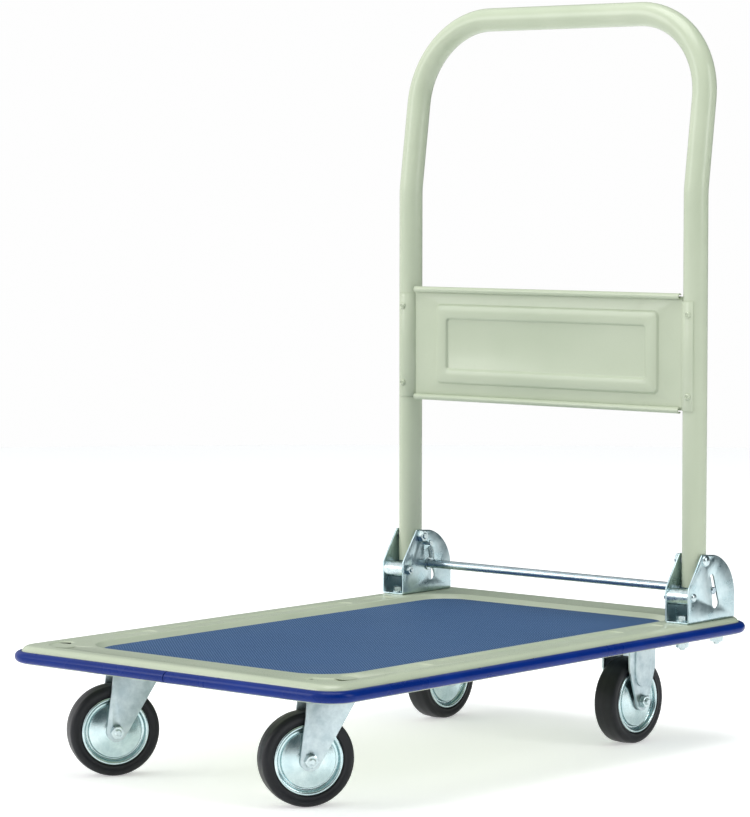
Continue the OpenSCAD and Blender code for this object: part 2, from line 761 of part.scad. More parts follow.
module at_king_pins() { for (x = [-caster_x, caster_x]) translate([x, front_y, 0]) children(); }
module swivel_plates() {
    color(zinc) at_king_pins() difference() {
        plate_with_holes();
        translate([0, 0, plate_z - 1]) cylinder(d = pin_d + 2*run_gap, h = fork_t + 2);
    }
}
module ball_track() { translate([race_r, ball_z]) circle(d = ball_d + 0.2); }
module upper_races() {
    color(zinc) at_king_pins() rotate_extrude() difference() {
        union() {
            translate([race_r - 4.5, ball_z + 0.75]) square([9, plate_z - ball_z - 0.75]);
            translate([race_r, plate_z - 1.5]) square([8, 1.5]);
            translate([race_r + 6.5, crown_z + 1]) square([1.5, plate_z - crown_z - 1]);
        }
        ball_track();
    }
}
module king_pins() {
    head_top = crown_z - fork_t - 0.2;
    color(zinc) at_king_pins() {
        translate([0, 0, head_top]) cylinder(d = pin_d, h = caster_h - head_top);
        translate([0, 0, head_top]) mirror([0, 0, 1]) dome(pin_head_d/2, 4.5);
    }
}
module turned(x) { translate([x, front_y, 0]) rotate([0, 0, -rest_turn]) children(); }
module swivel_fork() {
    end = [-trail, wheel_r];
    front = [fork_front, crown_z];
    rear = [fork_rear, crown_z];
    difference() {
        union() {
            intersection() {
                along_y(fork_front - 20, fork_rear + 20) translate([0, crown_z]) mirror([0, 1])
                    channel_section(fork_out, fork_t, 4, crown_z);
                along_x(-fork_out - 1, fork_out + 1) {
                    polygon([front, tangent(end, fork_end_r, front, 1), tangent(end, fork_end_r, rear, -1), rear]);
                    translate(end) circle(fork_end_r);
                }
            }
            translate([0, 0, crown_z - fork_t]) cylinder(r = crown_r, h = fork_t);
        }
        translate([0, 0, crown_z - fork_t - 1]) cylinder(d = pin_d + 2*run_gap, h = fork_t + 2);
        translate([0, -trail, 0]) axle_hole();
    }
}
module lower_race() {
    rotate_extrude() difference() {
        translate([race_r - 4.5, crown_z]) square([9, ball_z - 0.75 - crown_z]);
        ball_track();
    }
}
module bearing_balls() {
    for (i = [0:balls - 1])
        rotate([0, 0, 360*i/balls]) translate([race_r, 0, ball_z]) sphere(d = ball_d);
}
module swivel_fork_left() { color(zinc) turned(-caster_x) swivel_fork(); }
module swivel_fork_right() { color(zinc) turned(caster_x) swivel_fork(); }
module lower_race_left() { color(zinc) turned(-caster_x) lower_race(); }
module lower_race_right() { color(zinc) turned(caster_x) lower_race(); }
module bearing_balls_left() { color(steel) turned(-caster_x) bearing_balls(); }
module bearing_balls_right() { color(steel) turned(caster_x) bearing_balls(); }
module swivel_axle(x) {
    color(zinc) turned(x) translate([0, -trail, wheel_r]) {
        axle_sleeve();
        axle_bolt();
        axle_nut();
    }
}
module swivel_axle_left() { swivel_axle(-caster_x); }
module swivel_axle_right() { swivel_axle(caster_x); }

// wheels, drawn about the X axis
module spun() { rotate([0, 90, 0]) rotate_extrude() children(); }
module tyre() {
    inner = bead_at - bead_r + rim_t + tyre_gap;
    beads = bead_at + bead_r + tyre_gap;
    color(rubber) spun() difference() {
        union() {
            translate([inner, -tyre_w/2]) square([wheel_r - shoulder_r - inner, tyre_w]);
            translate([inner, -tyre_w/2 + shoulder_r]) square([wheel_r - inner, tyre_w - 2*shoulder_r]);
            for (s = [-1, 1]) translate([wheel_r - shoulder_r, s*(tyre_w/2 - shoulder_r)]) circle(shoulder_r);
        }
        for (s = [-1, 1]) translate([inner - 1, s*(groove_depth + 1.5 + tyre_w/2) - tyre_w/2])
            square([beads - inner + 1, tyre_w]);
    }
}
module rim_half_profile() {
    ball = (dome_r*dome_r + dome_rise*dome_rise)/(2*dome_rise);
    // dome
    intersection() {
        translate([0, dome_edge + dome_rise - ball]) difference() {
            circle(ball);
            circle(ball - rim_t);
        }
        translate([hub_d/2 + run_gap, dome_edge - rim_t])
            square([dome_r - hub_d/2 - run_gap, 2*dome_rise]);
    }
    // wall, floor and barrel of the groove
    translate([dome_r - rim_t, groove_depth]) square([rim_t, dome_edge - groove_depth]);
    translate([dome_r - rim_t, groove_depth]) square([bead_at - bead_r - dome_r + 2*rim_t, rim_t]);
    translate([bead_at - bead_r, 0.05]) square([rim_t, dome_edge + 0.5 - 0.05]);
    // bead
    intersection() {
        translate([bead_at, dome_edge + 0.5]) difference() {
            circle(bead_r);
            circle(bead_r - rim_t);
        }
        translate([bead_at - bead_r, dome_edge + 0.5]) square([2*bead_r, bead_r]);
    }
    translate([bead_at + bead_r - rim_t, groove_depth + 1.6]) square([rim_t, dome_edge - groove_depth - 1.1]);
}
module rim() {
    color(zinc) for (s = [0, 1]) mirror([s, 0, 0]) spun() rim_half_profile();
}
module hub() {
    color(steel) difference() {
        rod_x(hub_d, -fork_in + hub_end_gap, fork_in - hub_end_gap);
        rod_x(axle_d + 2*run_gap, -fork_in, fork_in);
    }
}
module at_swivel_wheel(x) { turned(x) translate([0, -trail, wheel_r]) children(); }
module at_rigid_wheel(x) { translate([x, rear_y, wheel_r]) children(); }
module tyre_front_left() { at_swivel_wheel(-caster_x) tyre(); }
module tyre_front_right() { at_swivel_wheel(caster_x) tyre(); }
module tyre_rear_left() { at_rigid_wheel(-caster_x) tyre(); }
module tyre_rear_right() { at_rigid_wheel(caster_x) tyre(); }
module rim_front_left() { at_swivel_wheel(-caster_x) rim(); }
module rim_front_right() { at_swivel_wheel(caster_x) rim(); }
module rim_rear_left() { at_rigid_wheel(-caster_x) rim(); }
module rim_rear_right() { at_rigid_wheel(caster_x) rim(); }
module hub_front_left() { at_swivel_wheel(-caster_x) hub(); }
module hub_front_right() { at_swivel_wheel(caster_x) hub(); }
module hub_rear_left() { at_rigid_wheel(-caster_x) hub(); }
module hub_rear_right() { at_rigid_wheel(caster_x) hub(); }

deck_pan();
front_crossmember();
rear_crossmember();
centre_stiffener();
bracket_backings();
bumper_strip();
deck_mat();
hinge_bracket_left();
hinge_bracket_right();
bracket_bolts();
bracket_washers();
bracket_nuts();
bracket_spacers();
pivot_bolts();
pivot_nuts();
stop_bolts();
stop_nuts();
stop_sleeves();
spring_studs();
caster_bolts();
caster_weld_nuts();
rigid_fork_left();
rigid_fork_right();
rigid_axle_sleeves();
rigid_axle_bolts();
rigid_axle_nuts();
swivel_plates();
upper_races();
king_pins();
handle_tube();
handle_panel();
panel_rivets();
pivot_bushes();
lock_bar();
bar_washers();
lock_spring_left();
lock_spring_right();
swivel_fork_left();
swivel_fork_right();
lower_race_left();
lower_race_right();
bearing_balls_left();
bearing_balls_right();
swivel_axle_left();
swivel_axle_right();
tyre_front_left();
tyre_front_right();
tyre_rear_left();
tyre_rear_right();
rim_front_left();
rim_front_right();
rim_rear_left();
rim_rear_right();
hub_front_left();
hub_front_right();
hub_rear_left();
hub_rear_right();
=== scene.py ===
# %% [markdown]
# # Folding platform cart
# The cart is a pressed steel tray on four casters, with a bent tube handle that folds over it. The CAD
# frame already holds every part at its true size and place, so it is loaded first. Each visible part is
# then remodelled with the soft press radii, chamfers and rolled edges that a CAD solid leaves out.

# %% Load the frame
import json
import bmesh
import bpy
from math import acos, atan2, cos, degrees, hypot, pi, radians, sin, sqrt, tan
from mathutils import Matrix, Vector

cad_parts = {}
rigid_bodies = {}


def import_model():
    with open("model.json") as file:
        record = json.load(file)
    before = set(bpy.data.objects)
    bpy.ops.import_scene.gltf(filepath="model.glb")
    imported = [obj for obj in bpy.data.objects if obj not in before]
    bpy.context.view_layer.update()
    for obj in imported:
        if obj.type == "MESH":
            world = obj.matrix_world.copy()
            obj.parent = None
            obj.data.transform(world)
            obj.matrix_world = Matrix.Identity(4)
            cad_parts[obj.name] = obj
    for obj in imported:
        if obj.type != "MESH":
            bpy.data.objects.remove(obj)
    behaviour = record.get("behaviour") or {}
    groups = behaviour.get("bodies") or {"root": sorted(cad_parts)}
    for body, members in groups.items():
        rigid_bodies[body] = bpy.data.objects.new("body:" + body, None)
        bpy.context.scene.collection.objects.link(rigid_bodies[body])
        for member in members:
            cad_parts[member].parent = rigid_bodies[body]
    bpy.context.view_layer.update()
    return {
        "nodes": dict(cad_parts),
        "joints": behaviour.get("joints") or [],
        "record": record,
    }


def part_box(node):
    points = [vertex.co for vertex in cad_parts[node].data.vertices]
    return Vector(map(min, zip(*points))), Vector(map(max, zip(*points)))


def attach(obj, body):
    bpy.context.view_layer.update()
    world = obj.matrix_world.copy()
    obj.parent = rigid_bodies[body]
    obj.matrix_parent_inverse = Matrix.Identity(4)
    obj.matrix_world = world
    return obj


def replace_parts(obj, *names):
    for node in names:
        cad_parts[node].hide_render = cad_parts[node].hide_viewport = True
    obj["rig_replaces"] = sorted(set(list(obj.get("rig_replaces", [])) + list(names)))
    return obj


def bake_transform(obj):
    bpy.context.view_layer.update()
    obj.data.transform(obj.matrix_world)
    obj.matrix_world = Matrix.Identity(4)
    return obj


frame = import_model()

# %% [markdown]
# ## Modelling helpers
# Every operator works on whatever is selected, so a piece starts with nothing else selected. A profile
# is drawn as by hand: one vertex is extruded from point to point. It then becomes a prism by extruding,
# or a turned part by spinning.

# %% Start, select and finish a piece
ORIGIN, DOWN, UP = (0, 0, 0), (0, 0, -1), (0, 0, 1)
HANDS = ((-1, "left"), (1, "right"))


def only(*objects):
    if bpy.context.mode != "OBJECT":
        bpy.ops.object.mode_set(mode="OBJECT")
    bpy.ops.object.select_all(action="DESELECT")
    for o in objects:
        o.select_set(True)
        bpy.context.view_layer.objects.active = o


def finish(o, angle=32, clean=True):
    only(o)
    bpy.ops.object.transform_apply(location=True, rotation=True, scale=True)
    bpy.ops.object.mode_set(mode="EDIT")
    bpy.ops.mesh.select_all(action="SELECT")
    if clean:
        bpy.ops.mesh.remove_doubles(threshold=1e-6)
    bpy.ops.mesh.normals_make_consistent(inside=False)
    bpy.ops.object.mode_set(mode="OBJECT")
    bpy.ops.object.shade_smooth_by_angle(angle=radians(angle))
    return o


def modify(o, kind, **settings):
    only(o)
    m = o.modifiers.new(kind, kind)
    for key, value in settings.items():
        setattr(m, key, value)
    bpy.ops.object.modifier_apply(modifier=m.name)
    return o


def soften(o, width, segments=2, angle=35):
    modify(o, "BEVEL", width=width, segments=segments, limit_method="ANGLE",
           angle_limit=radians(angle), harden_normals=False)
    return finish(o)


def cut(o, tool, operation="DIFFERENCE"):
    modify(o, "BOOLEAN", object=tool, operation=operation, solver="EXACT")
    bpy.data.objects.remove(tool)
    return o


def drill(o, where, radius, depth, across=False, vertices=32):
    """A round hole, along Z, or along X when it goes across."""
    only()
    bpy.ops.mesh.primitive_cylinder_add(vertices=vertices, radius=radius, depth=depth, location=where,
                                        rotation=(0, pi / 2 if across else 0, 0))
    return cut(o, bpy.context.object)


def join(name, pieces):
    only(*pieces)
    bpy.ops.object.join()
    o = bpy.context.object
    o.name = name
    return o


def copy_of(o, name, move=(0, 0, 0), mirror=False, turn=None):
    only(o)
    bpy.ops.object.duplicate()
    c = bpy.context.object
    c.name = name
    if turn:
        angle, pivot = turn
        c.data.transform(Matrix.Translation(pivot) @ Matrix.Rotation(angle, 4, "Z")
                         @ Matrix.Translation(-Vector(pivot)))
    if mirror:
        c.data.transform(Matrix.Scale(-1, 4, (1, 0, 0)))
        c.data.flip_normals()
    c.data.transform(Matrix.Translation(move))
    return c


# %% Profiles, prisms and turned parts
def outline(name, points, close=None):
    only()
    bpy.ops.mesh.primitive_plane_add(size=0.001, location=points[0])
    o = bpy.context.object
    o.name = name
    bpy.ops.object.transform_apply(location=True)
    bpy.ops.object.mode_set(mode="EDIT")
    bpy.ops.mesh.select_mode(type="VERT")
    bpy.ops.mesh.select_all(action="SELECT")
    bpy.ops.mesh.merge(type="CENTER")
    for a, b in zip(points, points[1:]):
        step = Vector(b) - Vector(a)
        bpy.ops.mesh.extrude_region_move(TRANSFORM_OT_translate={"value": step})
    if close == "face":
        bpy.ops.mesh.select_all(action="SELECT")
        bpy.ops.mesh.edge_face_add()
    if close == "edge":
        pick(lambda p: (p - Vector(points[0])).length < 1e-6 or (p - Vector(points[-1])).length < 1e-6)
        bpy.ops.mesh.edge_face_add()
        bpy.ops.mesh.select_all(action="SELECT")
    return o


def pick(test, kind="VERT"):
    """In edit mode: select the vertices, edges or faces whose middle passes the test."""
    o = bpy.context.object
    bpy.ops.mesh.select_mode(type=kind)
    bpy.ops.mesh.select_all(action="DESELECT")
    bm = bmesh.from_edit_mesh(o.data)
    for part in {"VERT": bm.verts, "EDGE": bm.edges, "FACE": bm.faces}[kind]:
        if kind == "VERT":
            ok = test(part.co)
        elif kind == "EDGE":
            ok = test(part.verts[0].co) and test(part.verts[1].co)
        else:
            ok = test(part.calc_center_median(), part.normal)
        if ok:
            part.select_set(True)
    bm.select_flush_mode()
    bmesh.update_edit_mesh(o.data)


def prism(name, points, along):
    o = outline(name, points, "face")
    bpy.ops.mesh.extrude_region_move(TRANSFORM_OT_translate={"value": along})
    return finish(o)


def place_on(axis, centre, radius, height):
    c = Vector(centre)
    if axis == "X":
        return c + Vector((height, 0, radius))
    if axis == "Y":
        return c + Vector((0, height, radius))
    return c + Vector((radius, 0, height))


def turned(name, points, centre, axis="X", closed=False, steps=72):
    """points are (radius, height along the axis)."""
    o = outline(name, [place_on(axis, centre, r, h) for r, h in points], "edge" if closed else None)
    bpy.ops.mesh.select_all(action="SELECT")
    direction = {"X": (1, 0, 0), "Y": (0, 1, 0), "Z": UP}[axis]
    bpy.ops.mesh.spin(steps=steps, angle=2 * pi, center=centre, axis=direction)
    return finish(o)


def arc(cx, cy, r, start, end, steps):
    return [(cx + r * cos(radians(start + (end - start) * i / steps)),
             cy + r * sin(radians(start + (end - start) * i / steps)))
            for i in range(steps + 1)]


def mm(*values):
    return tuple(v / 1000 for v in values)


# %% Rounded plates
def rounded_face(name, centre, half, radius, segments=14):
    only()
    bpy.ops.mesh.primitive_plane_add(size=1, location=centre)
    o = bpy.context.object
    o.name = name
    o.scale = (2 * half[0], 2 * half[1], 1)
    bpy.ops.object.transform_apply(location=True, scale=True)
    bpy.ops.object.mode_set(mode="EDIT")
    bpy.ops.mesh.select_all(action="SELECT")
    bpy.ops.mesh.bevel(offset=radius, segments=segments, affect="VERTICES", profile=0.5)
    return o


def steps_in(path):
    """Inset the selected face again and again: path is the list of (distance in, height)."""
    for (a, za), (b, zb) in zip(path, path[1:]):
        bpy.ops.mesh.inset(thickness=b - a, depth=zb - za, use_boundary=True, use_even_offset=True)


print("helpers ready")

# %% [markdown]
# ## The deck
# The deck is one pressed sheet: a flange turned in at the bottom, an upright skirt, a rolled edge, a flat
# rim and a sunken well for the mat. A rounded face is inset step by step, which is how a press draws
# such a tray. The rim joins the roll to the well by bridging, and a Solidify modifier gives the sheet.

# %% Deck outline and shell
deck_lo, deck_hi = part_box("deck_pan")
mat_lo, mat_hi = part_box("deck_mat")
half_x, half_y = deck_hi.x, deck_hi.y
bumper_corner = 0.034
corner = bumper_corner - (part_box("bumper_strip")[1].x - deck_hi.x)
elbow_inset = 0.053
rim_z, skirt_z = deck_hi.z, deck_lo.z
roll = 0.009
top_z = rim_z - roll
mat_mid = (mat_lo.y + mat_hi.y) / 2


def from_edge(p):
    """Signed distance of a point from the skirt's outline, negative inside."""
    qx, qy = abs(p.x) - half_x + corner, abs(p.y) - half_y + corner
    return hypot(max(qx, 0), max(qy, 0)) + min(max(qx, qy), 0) - corner


shell = rounded_face("deck_shell", (0, 0, skirt_z), (half_x, half_y), corner)
bpy.ops.mesh.extrude_region_move(TRANSFORM_OT_translate={"value": (0, 0, top_z - skirt_z)})
steps_in([(roll * (1 - cos(a)), top_z + roll * sin(a))
          for a in [radians(90 * i / 8) for i in range(9)]])
bpy.ops.mesh.delete(type="FACE")
pick(lambda c, n: n.z < -0.9 and c.z < skirt_z + 1e-5, "FACE")
bpy.ops.mesh.inset(thickness=0.007, depth=0)
bpy.ops.mesh.delete(type="FACE")
pick(lambda p: p.z < skirt_z + 1e-5 and from_edge(p) > -1e-4, "EDGE")
bpy.ops.mesh.bevel(offset=0.0013, segments=3, affect="EDGES")
bpy.ops.object.mode_set(mode="OBJECT")

# %% Well with its rolled crest, joined to the rim
well = 0.0075
crest = mat_hi.x + 0.0005 + well
over = 0.0017


def fillet_path(drop, r_top, r_low):
    """(distance in, height below the rim) down a 45 degree wall with a rounded top and foot."""
    c, s = cos(radians(45)), sin(radians(45))
    path = [(r_top * sin(radians(a)), -r_top * (1 - cos(radians(a))))
            for a in range(0, 46, 9)]
    run = drop - (r_top + r_low) * (1 - c)
    x, z = path[-1][0] + run, path[-1][1] - run
    path += [(x + r_low * (s - sin(radians(a))), z + r_low * (c - cos(radians(a))))
             for a in range(45, -1, -9)]
    return path


bowl = rounded_face("well", (0, mat_mid, rim_z),
                    (crest + over, (mat_hi.y - mat_lo.y) / 2 + 0.0005 + well + over), 0.048 + over)
steps_in(fillet_path(0.0075, 0.004, 0.002))
bpy.ops.object.mode_set(mode="OBJECT")
shell = join("deck_shell", [bowl, shell])
bpy.ops.object.mode_set(mode="EDIT")
pick(lambda p: p.z > rim_z - 2e-5, "EDGE")
bpy.ops.mesh.bridge_edge_loops()
finish(shell)
if max(shell.data.polygons, key=lambda p: p.area).normal.z < 0:
    shell.data.flip_normals()
modify(shell, "SOLIDIFY", thickness=0.0015, offset=-1)
finish(shell)
print("deck shell:", len(shell.data.polygons), "faces")

# %% [markdown]
# Shallow dimples stiffen the sides of the rim. Each cutter is a soft dish, so the pressed edge fades out
# instead of ending in a sharp line.

# %% Press the dimples
def dish(name, x, y, hx, hy, r=0.008):
    o = rounded_face(name, (x, y, rim_z + 0.0003), (hx + 0.001, hy + 0.001), r, segments=8)
    steps_in([(0, 0), (0.0005, -0.00035), (0.0012, -0.0007), (0.002, -0.0011), (0.003, -0.0013)])
    pick(lambda p: p.z > rim_z + 2e-4)
    bpy.ops.mesh.edge_face_add()
    return finish(o)


dimple_x = crest + 0.018
dishes = []
for s in (-1, 1):
    dishes.append(dish("dish", s * dimple_x, 0, 0.010, 0.155))
    dishes += [dish("dish", s * dimple_x, t * 0.204, 0.010, 0.027) for t in (-1, 1)]
    c = (s * (half_x - elbow_inset), -(half_y - elbow_inset), rim_z)
    ring = outline("dish", [(c[0] + s * r, c[1], rim_z + h) for r, h in
                            [(0.012, 0.0003), (0.0125, -0.0002), (0.014, -0.0008), (0.016, -0.001),
                             (0.030, -0.001), (0.032, -0.0008), (0.0335, -0.0002), (0.034, 0.0003)]], "face")
    bpy.ops.mesh.spin(steps=12, angle=s * radians(90), center=c, axis=UP)
    dishes.append(finish(ring))
cut(shell, join("dishes", dishes))
ends = []
for s in (-1, 1):
    x, y = s * (half_x - elbow_inset), elbow_inset - half_y
    for dx, dy in ((s * 0.023, 0), (0, -0.023)):
        ends.append(dish("dish", x + dx, y + dy, 0.010, 0.010, 0.0109))
cut(shell, join("elbow_ends", ends))
bolt_holes = []
br_lo, br_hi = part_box("hinge_bracket_right")
leg_x = (br_lo.x + br_hi.x) / 2
for s in (-1, 1):
    for y in (0.262, 0.32975):
        only()
        bpy.ops.mesh.primitive_cylinder_add(vertices=32, radius=0.0045, depth=0.01,
                                            location=(s * leg_x, y, rim_z))
        bolt_holes.append(bpy.context.object)
cut(shell, join("bolt_holes", bolt_holes))
finish(shell, 25)
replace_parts(shell, "deck_pan")
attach(shell, "platform")
print("rim crest at", round(crest, 4), "dimples at", round(dimple_x, 4))

# %% [markdown]
# ## The mat and the bumper
# The mat is a thin sheet with a slightly rounded edge. The bumper is a D-shaped plastic strip that runs
# round the skirt, with its ends meeting in a slanted cut at the front.

# %% Mat
mat_pad = rounded_face("mat_pad", (0, mat_mid, mat_lo.z), (mat_hi.x, (mat_hi.y - mat_lo.y) / 2), 0.040)
thick = mat_hi.z - mat_lo.z
bpy.ops.mesh.extrude_region_move(TRANSFORM_OT_translate={"value": (0, 0, thick - 0.0006)})
steps_in([(0, 0), (0.00012, 0.00035), (0.0004, 0.0006)])
finish(mat_pad)
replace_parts(mat_pad, "deck_mat")
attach(mat_pad, "platform")

# %% Bumper
bum_lo, bum_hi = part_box("bumper_strip")
proud = bum_hi.x - half_x
mid_z = (bum_lo.z + bum_hi.z) / 2
half_h = (bum_hi.z - bum_lo.z) / 2
D_path = [(proud * (1 - cos(radians(a)) ** 0.9), half_h * sin(radians(a)))
          for a in (0, 10, 20, 30, 40, 50, 60, 70, 80, 90)]
bumper = rounded_face("bumper", (0, 0, mid_z), (bum_hi.x, bum_hi.y), corner + proud, segments=20)
steps_in(D_path)
bpy.ops.mesh.delete(type="FACE")
under = rounded_face("bumper_low", (0, 0, mid_z), (bum_hi.x, bum_hi.y), corner + proud, segments=20)
steps_in([(a, -z) for a, z in D_path])
bpy.ops.mesh.delete(type="FACE")
bumper = join("bumper", [under, bumper])
bpy.ops.object.mode_set(mode="EDIT")
bpy.ops.mesh.select_all(action="SELECT")
bpy.ops.mesh.remove_doubles(threshold=1e-6)
pick(lambda p: abs(abs(p.z - mid_z) - half_h) < 1e-5, "EDGE")
bpy.ops.mesh.bridge_edge_loops()
finish(bumper)
slit_face = [mm(1.0, -380, 124), mm(2.2, -380, 124), mm(4.8, -380, 142), mm(3.6, -380, 142)]
slit = prism("slit", slit_face, mm(0, 30, 0))
cut(bumper, slit)
finish(bumper, 40)
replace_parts(bumper, "bumper_strip")
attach(bumper, "platform")
print("bumper", [round(v, 4) for v in (proud, mid_z, half_h)])

# %% [markdown]
# ## The handle
# The handle is one tube. A ring is extruded up the leg, spun through the slight backward bend, extruded
# again and spun round the two top corners, as a bending machine would feed and turn it.

# %% Tube
tube_lo, tube_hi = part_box("handle_tube")
tube_r = 0.014
span = tube_hi.x - tube_r
leg_y = tube_lo.y + tube_r
lean = radians(8)
kink_r, bend_r = 0.080, 0.100
kink_z = 0.636 - kink_r * tan(lean / 2)
lean_z = kink_z + kink_r * sin(lean)
lean_y = leg_y + kink_r * (1 - cos(lean))
leg_top = ((tube_hi.z - tube_r - lean_z) / cos(lean)) - bend_r
up = Vector((0, sin(lean), cos(lean)))
normal = Vector((0, cos(lean), -sin(lean)))


def feed(vector):
    bpy.ops.mesh.extrude_region_move(TRANSFORM_OT_translate={"value": vector})


def bend(angle, centre, axis, steps):
    """Turns the selected ring right-handed about the axis; spin counts the other way."""
    bpy.ops.mesh.spin(steps=steps, angle=-angle, center=centre, axis=axis)


only()
bpy.ops.mesh.primitive_circle_add(vertices=40, radius=tube_r, location=(-span, leg_y, tube_lo.z))
tube = bpy.context.object
tube.name = "tube"
bpy.ops.object.transform_apply(location=True)
bpy.ops.object.mode_set(mode="EDIT")
bpy.ops.mesh.select_all(action="SELECT")
feed((0, 0, kink_z - tube_lo.z))
bend(-lean, (0, leg_y + kink_r, kink_z), (1, 0, 0), 6)
feed(up * leg_top)
base = Vector((0, lean_y, lean_z)) + up * leg_top
bend(radians(90), base + Vector((-span + bend_r, 0, 0)), normal, 24)
feed((2 * (span - bend_r), 0, 0))
bend(radians(90), base + Vector((span - bend_r, 0, 0)), normal, 24)
feed(-up * leg_top)
bend(lean, (0, leg_y + kink_r, kink_z), (1, 0, 0), 6)
feed((0, 0, tube_lo.z - kink_z))
bpy.ops.object.mode_set(mode="OBJECT")
finish(tube)
modify(tube, "SOLIDIFY", thickness=0.0015, offset=-1)
finish(tube)
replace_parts(tube, "handle_tube")
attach(tube, "handle")
print("tube box", [round(v, 4) for v in tube.dimensions], "CAD", [round(v, 4) for v in tube_hi - tube_lo])

# %% [markdown]
# ## The handle panel
# One sheet spans the legs. Its raised frame is pressed forward, its top and bottom edges are rolled into
# open hems, and its sides wrap round the tubes, where two rivets hold each. The press moves the sheet
# without cutting it, so the frame is a run of insets, and the flat round it is filled in afterwards.

# %% Flat sheet with the pressed frame
pan_lo, pan_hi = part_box("handle_panel")
face_y = leg_y - 0.0064
sheet_half = 0.1987
mid_panel = (pan_lo.z + pan_hi.z) / 2
gauge = 0.0012
sheet_tall = (pan_hi.z - pan_lo.z) / 2 - 0.0036
ring_w = 0.0193
rise = [(0, 0), (0.0006, 0.0002), (0.0016, 0.0012), (0.0024, 0.0022), (0.0034, 0.0026)]
edge = outline("edge", [(x * sheet_half, y * sheet_tall, 0) for x, y in ((-1, -1), (1, -1), (1, 1), (-1, 1))],
               "edge")
slope, tall = rise[-1]
outer = rounded_face("outer", (0, 0, 0), (0.166, 0.0485), 0.008, segments=8)
steps_in(rise)
bpy.ops.mesh.delete(type="FACE")
inner = rounded_face("inner", (0, 0, tall), (0.166 - ring_w + slope, 0.0485 - ring_w + slope), 0.0064,
                     segments=8)
steps_in([(slope - a, h) for a, h in reversed(rise)])
panel = join("panel", [edge, outer, inner])
bpy.ops.object.mode_set(mode="EDIT")
pick(lambda p: abs(p.z) < 1e-6 and (abs(p.x) > 0.157 or abs(p.y) > 0.040), "EDGE")
bpy.ops.mesh.fill()
pick(lambda p: p.z > tall - 1e-6, "EDGE")
bpy.ops.mesh.fill()
bpy.ops.object.mode_set(mode="OBJECT")
panel.data.transform(Matrix.Translation((0, face_y, mid_panel)) @ Matrix.Rotation(radians(90), 4, "X"))
finish(panel)
modify(panel, "SOLIDIFY", thickness=gauge, offset=0)
finish(panel)
print("panel sheet:", len(panel.data.polygons), "faces", [round(v, 4) for v in panel.dimensions])

# %% Rolled hems, side tabs and rivet holes
parts = [panel]
hem_r = 0.003
for z, turn_up in ((pan_lo.z + 0.0036, 1), (pan_hi.z - 0.0036, -1)):
    loop = [(face_y - hem_r - hem_r * cos(radians(a)),
             z - turn_up * hem_r * sin(radians(a))) for a in range(-180, 141, 20)]
    hem = outline("hem", [(-0.1965, y, h) for y, h in loop])
    bpy.ops.mesh.select_all(action="SELECT")
    feed((0.393, 0, 0))
    finish(hem)
    modify(hem, "SOLIDIFY", thickness=gauge, offset=0)
    parts.append(finish(hem))
for s in (-1, 1):
    strip = arc(s * span, leg_y, tube_r + 0.0007, 270 - 65 * s, 270 + 26 * s, 14)
    tab = outline("tab", [(x, y, pan_lo.z + 0.0035) for x, y in strip])
    bpy.ops.mesh.select_all(action="SELECT")
    feed((0, 0, pan_hi.z - pan_lo.z - 0.0125))
    finish(tab)
    modify(tab, "SOLIDIFY", thickness=gauge, offset=0)
    parts.append(soften(tab, 0.0003, 2))
panel = join("panel", parts)
finish(panel, 30)
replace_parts(panel, "handle_panel")
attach(panel, "handle")

# %% Rivets
def rivet(x, y, z):
    side = [(0, -0.0022), (0.0006, -0.0020), (0.0007, -0.0012), (0.0014, -0.0011), (0.0024, -0.0017),
            (0.0034, -0.0010), (0.0038, -0.0002), (0.0039, 0.0004), (0, 0.0006)]
    return turned("rivet", side, (x, y, z), "Y", steps=28)


seat = leg_y - tube_r - 0.0017
rivets = [rivet(s * span, seat, z) for s in (-1, 1) for z in (pan_lo.z + 0.020, pan_hi.z - 0.024)]
rivets = join("rivets", rivets)
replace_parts(rivets, "panel_rivets")
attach(rivets, "handle")
print("panel parts:", len(parts), "rivets at", round(pan_lo.z + 0.020, 4))

# %% [markdown]
# ## Hinge brackets
# Each bracket is a folded U of sheet. A channel with bent corners is intersected with the side outline,
# the keyhole slot and the bolt holes are cut, and a small bevel breaks the punched edges.

# %% One bracket, then its mirror copy
foot = rim_z
cheek = (br_hi.x - br_lo.x) / 2


def yz(points, x):
    return [(x, leg_y + y / 1000, foot + z / 1000) for y, z in points]


def channel(name, half, t, r, height, y0, y1):
    """A U section, its corners bent with outer radius r, pushed along Y."""
    left = arc(-half + r, r, r, 180, 270, 6)
    right = arc(half - r, r, r, 270, 360, 6)
    inner = r - t
    back_r = arc(half - r, r, inner, 360, 270, 6)
    back_l = arc(-half + r, r, inner, 270, 180, 6)
    section = [(-half, height)] + left + right + [(half, height), (half - t, height)]
    section += back_r + back_l + [(-half + t, height)]
    return prism(name, [(leg_x + x, y0, foot + z) for x, z in section], (0, y1 - y0, 0))


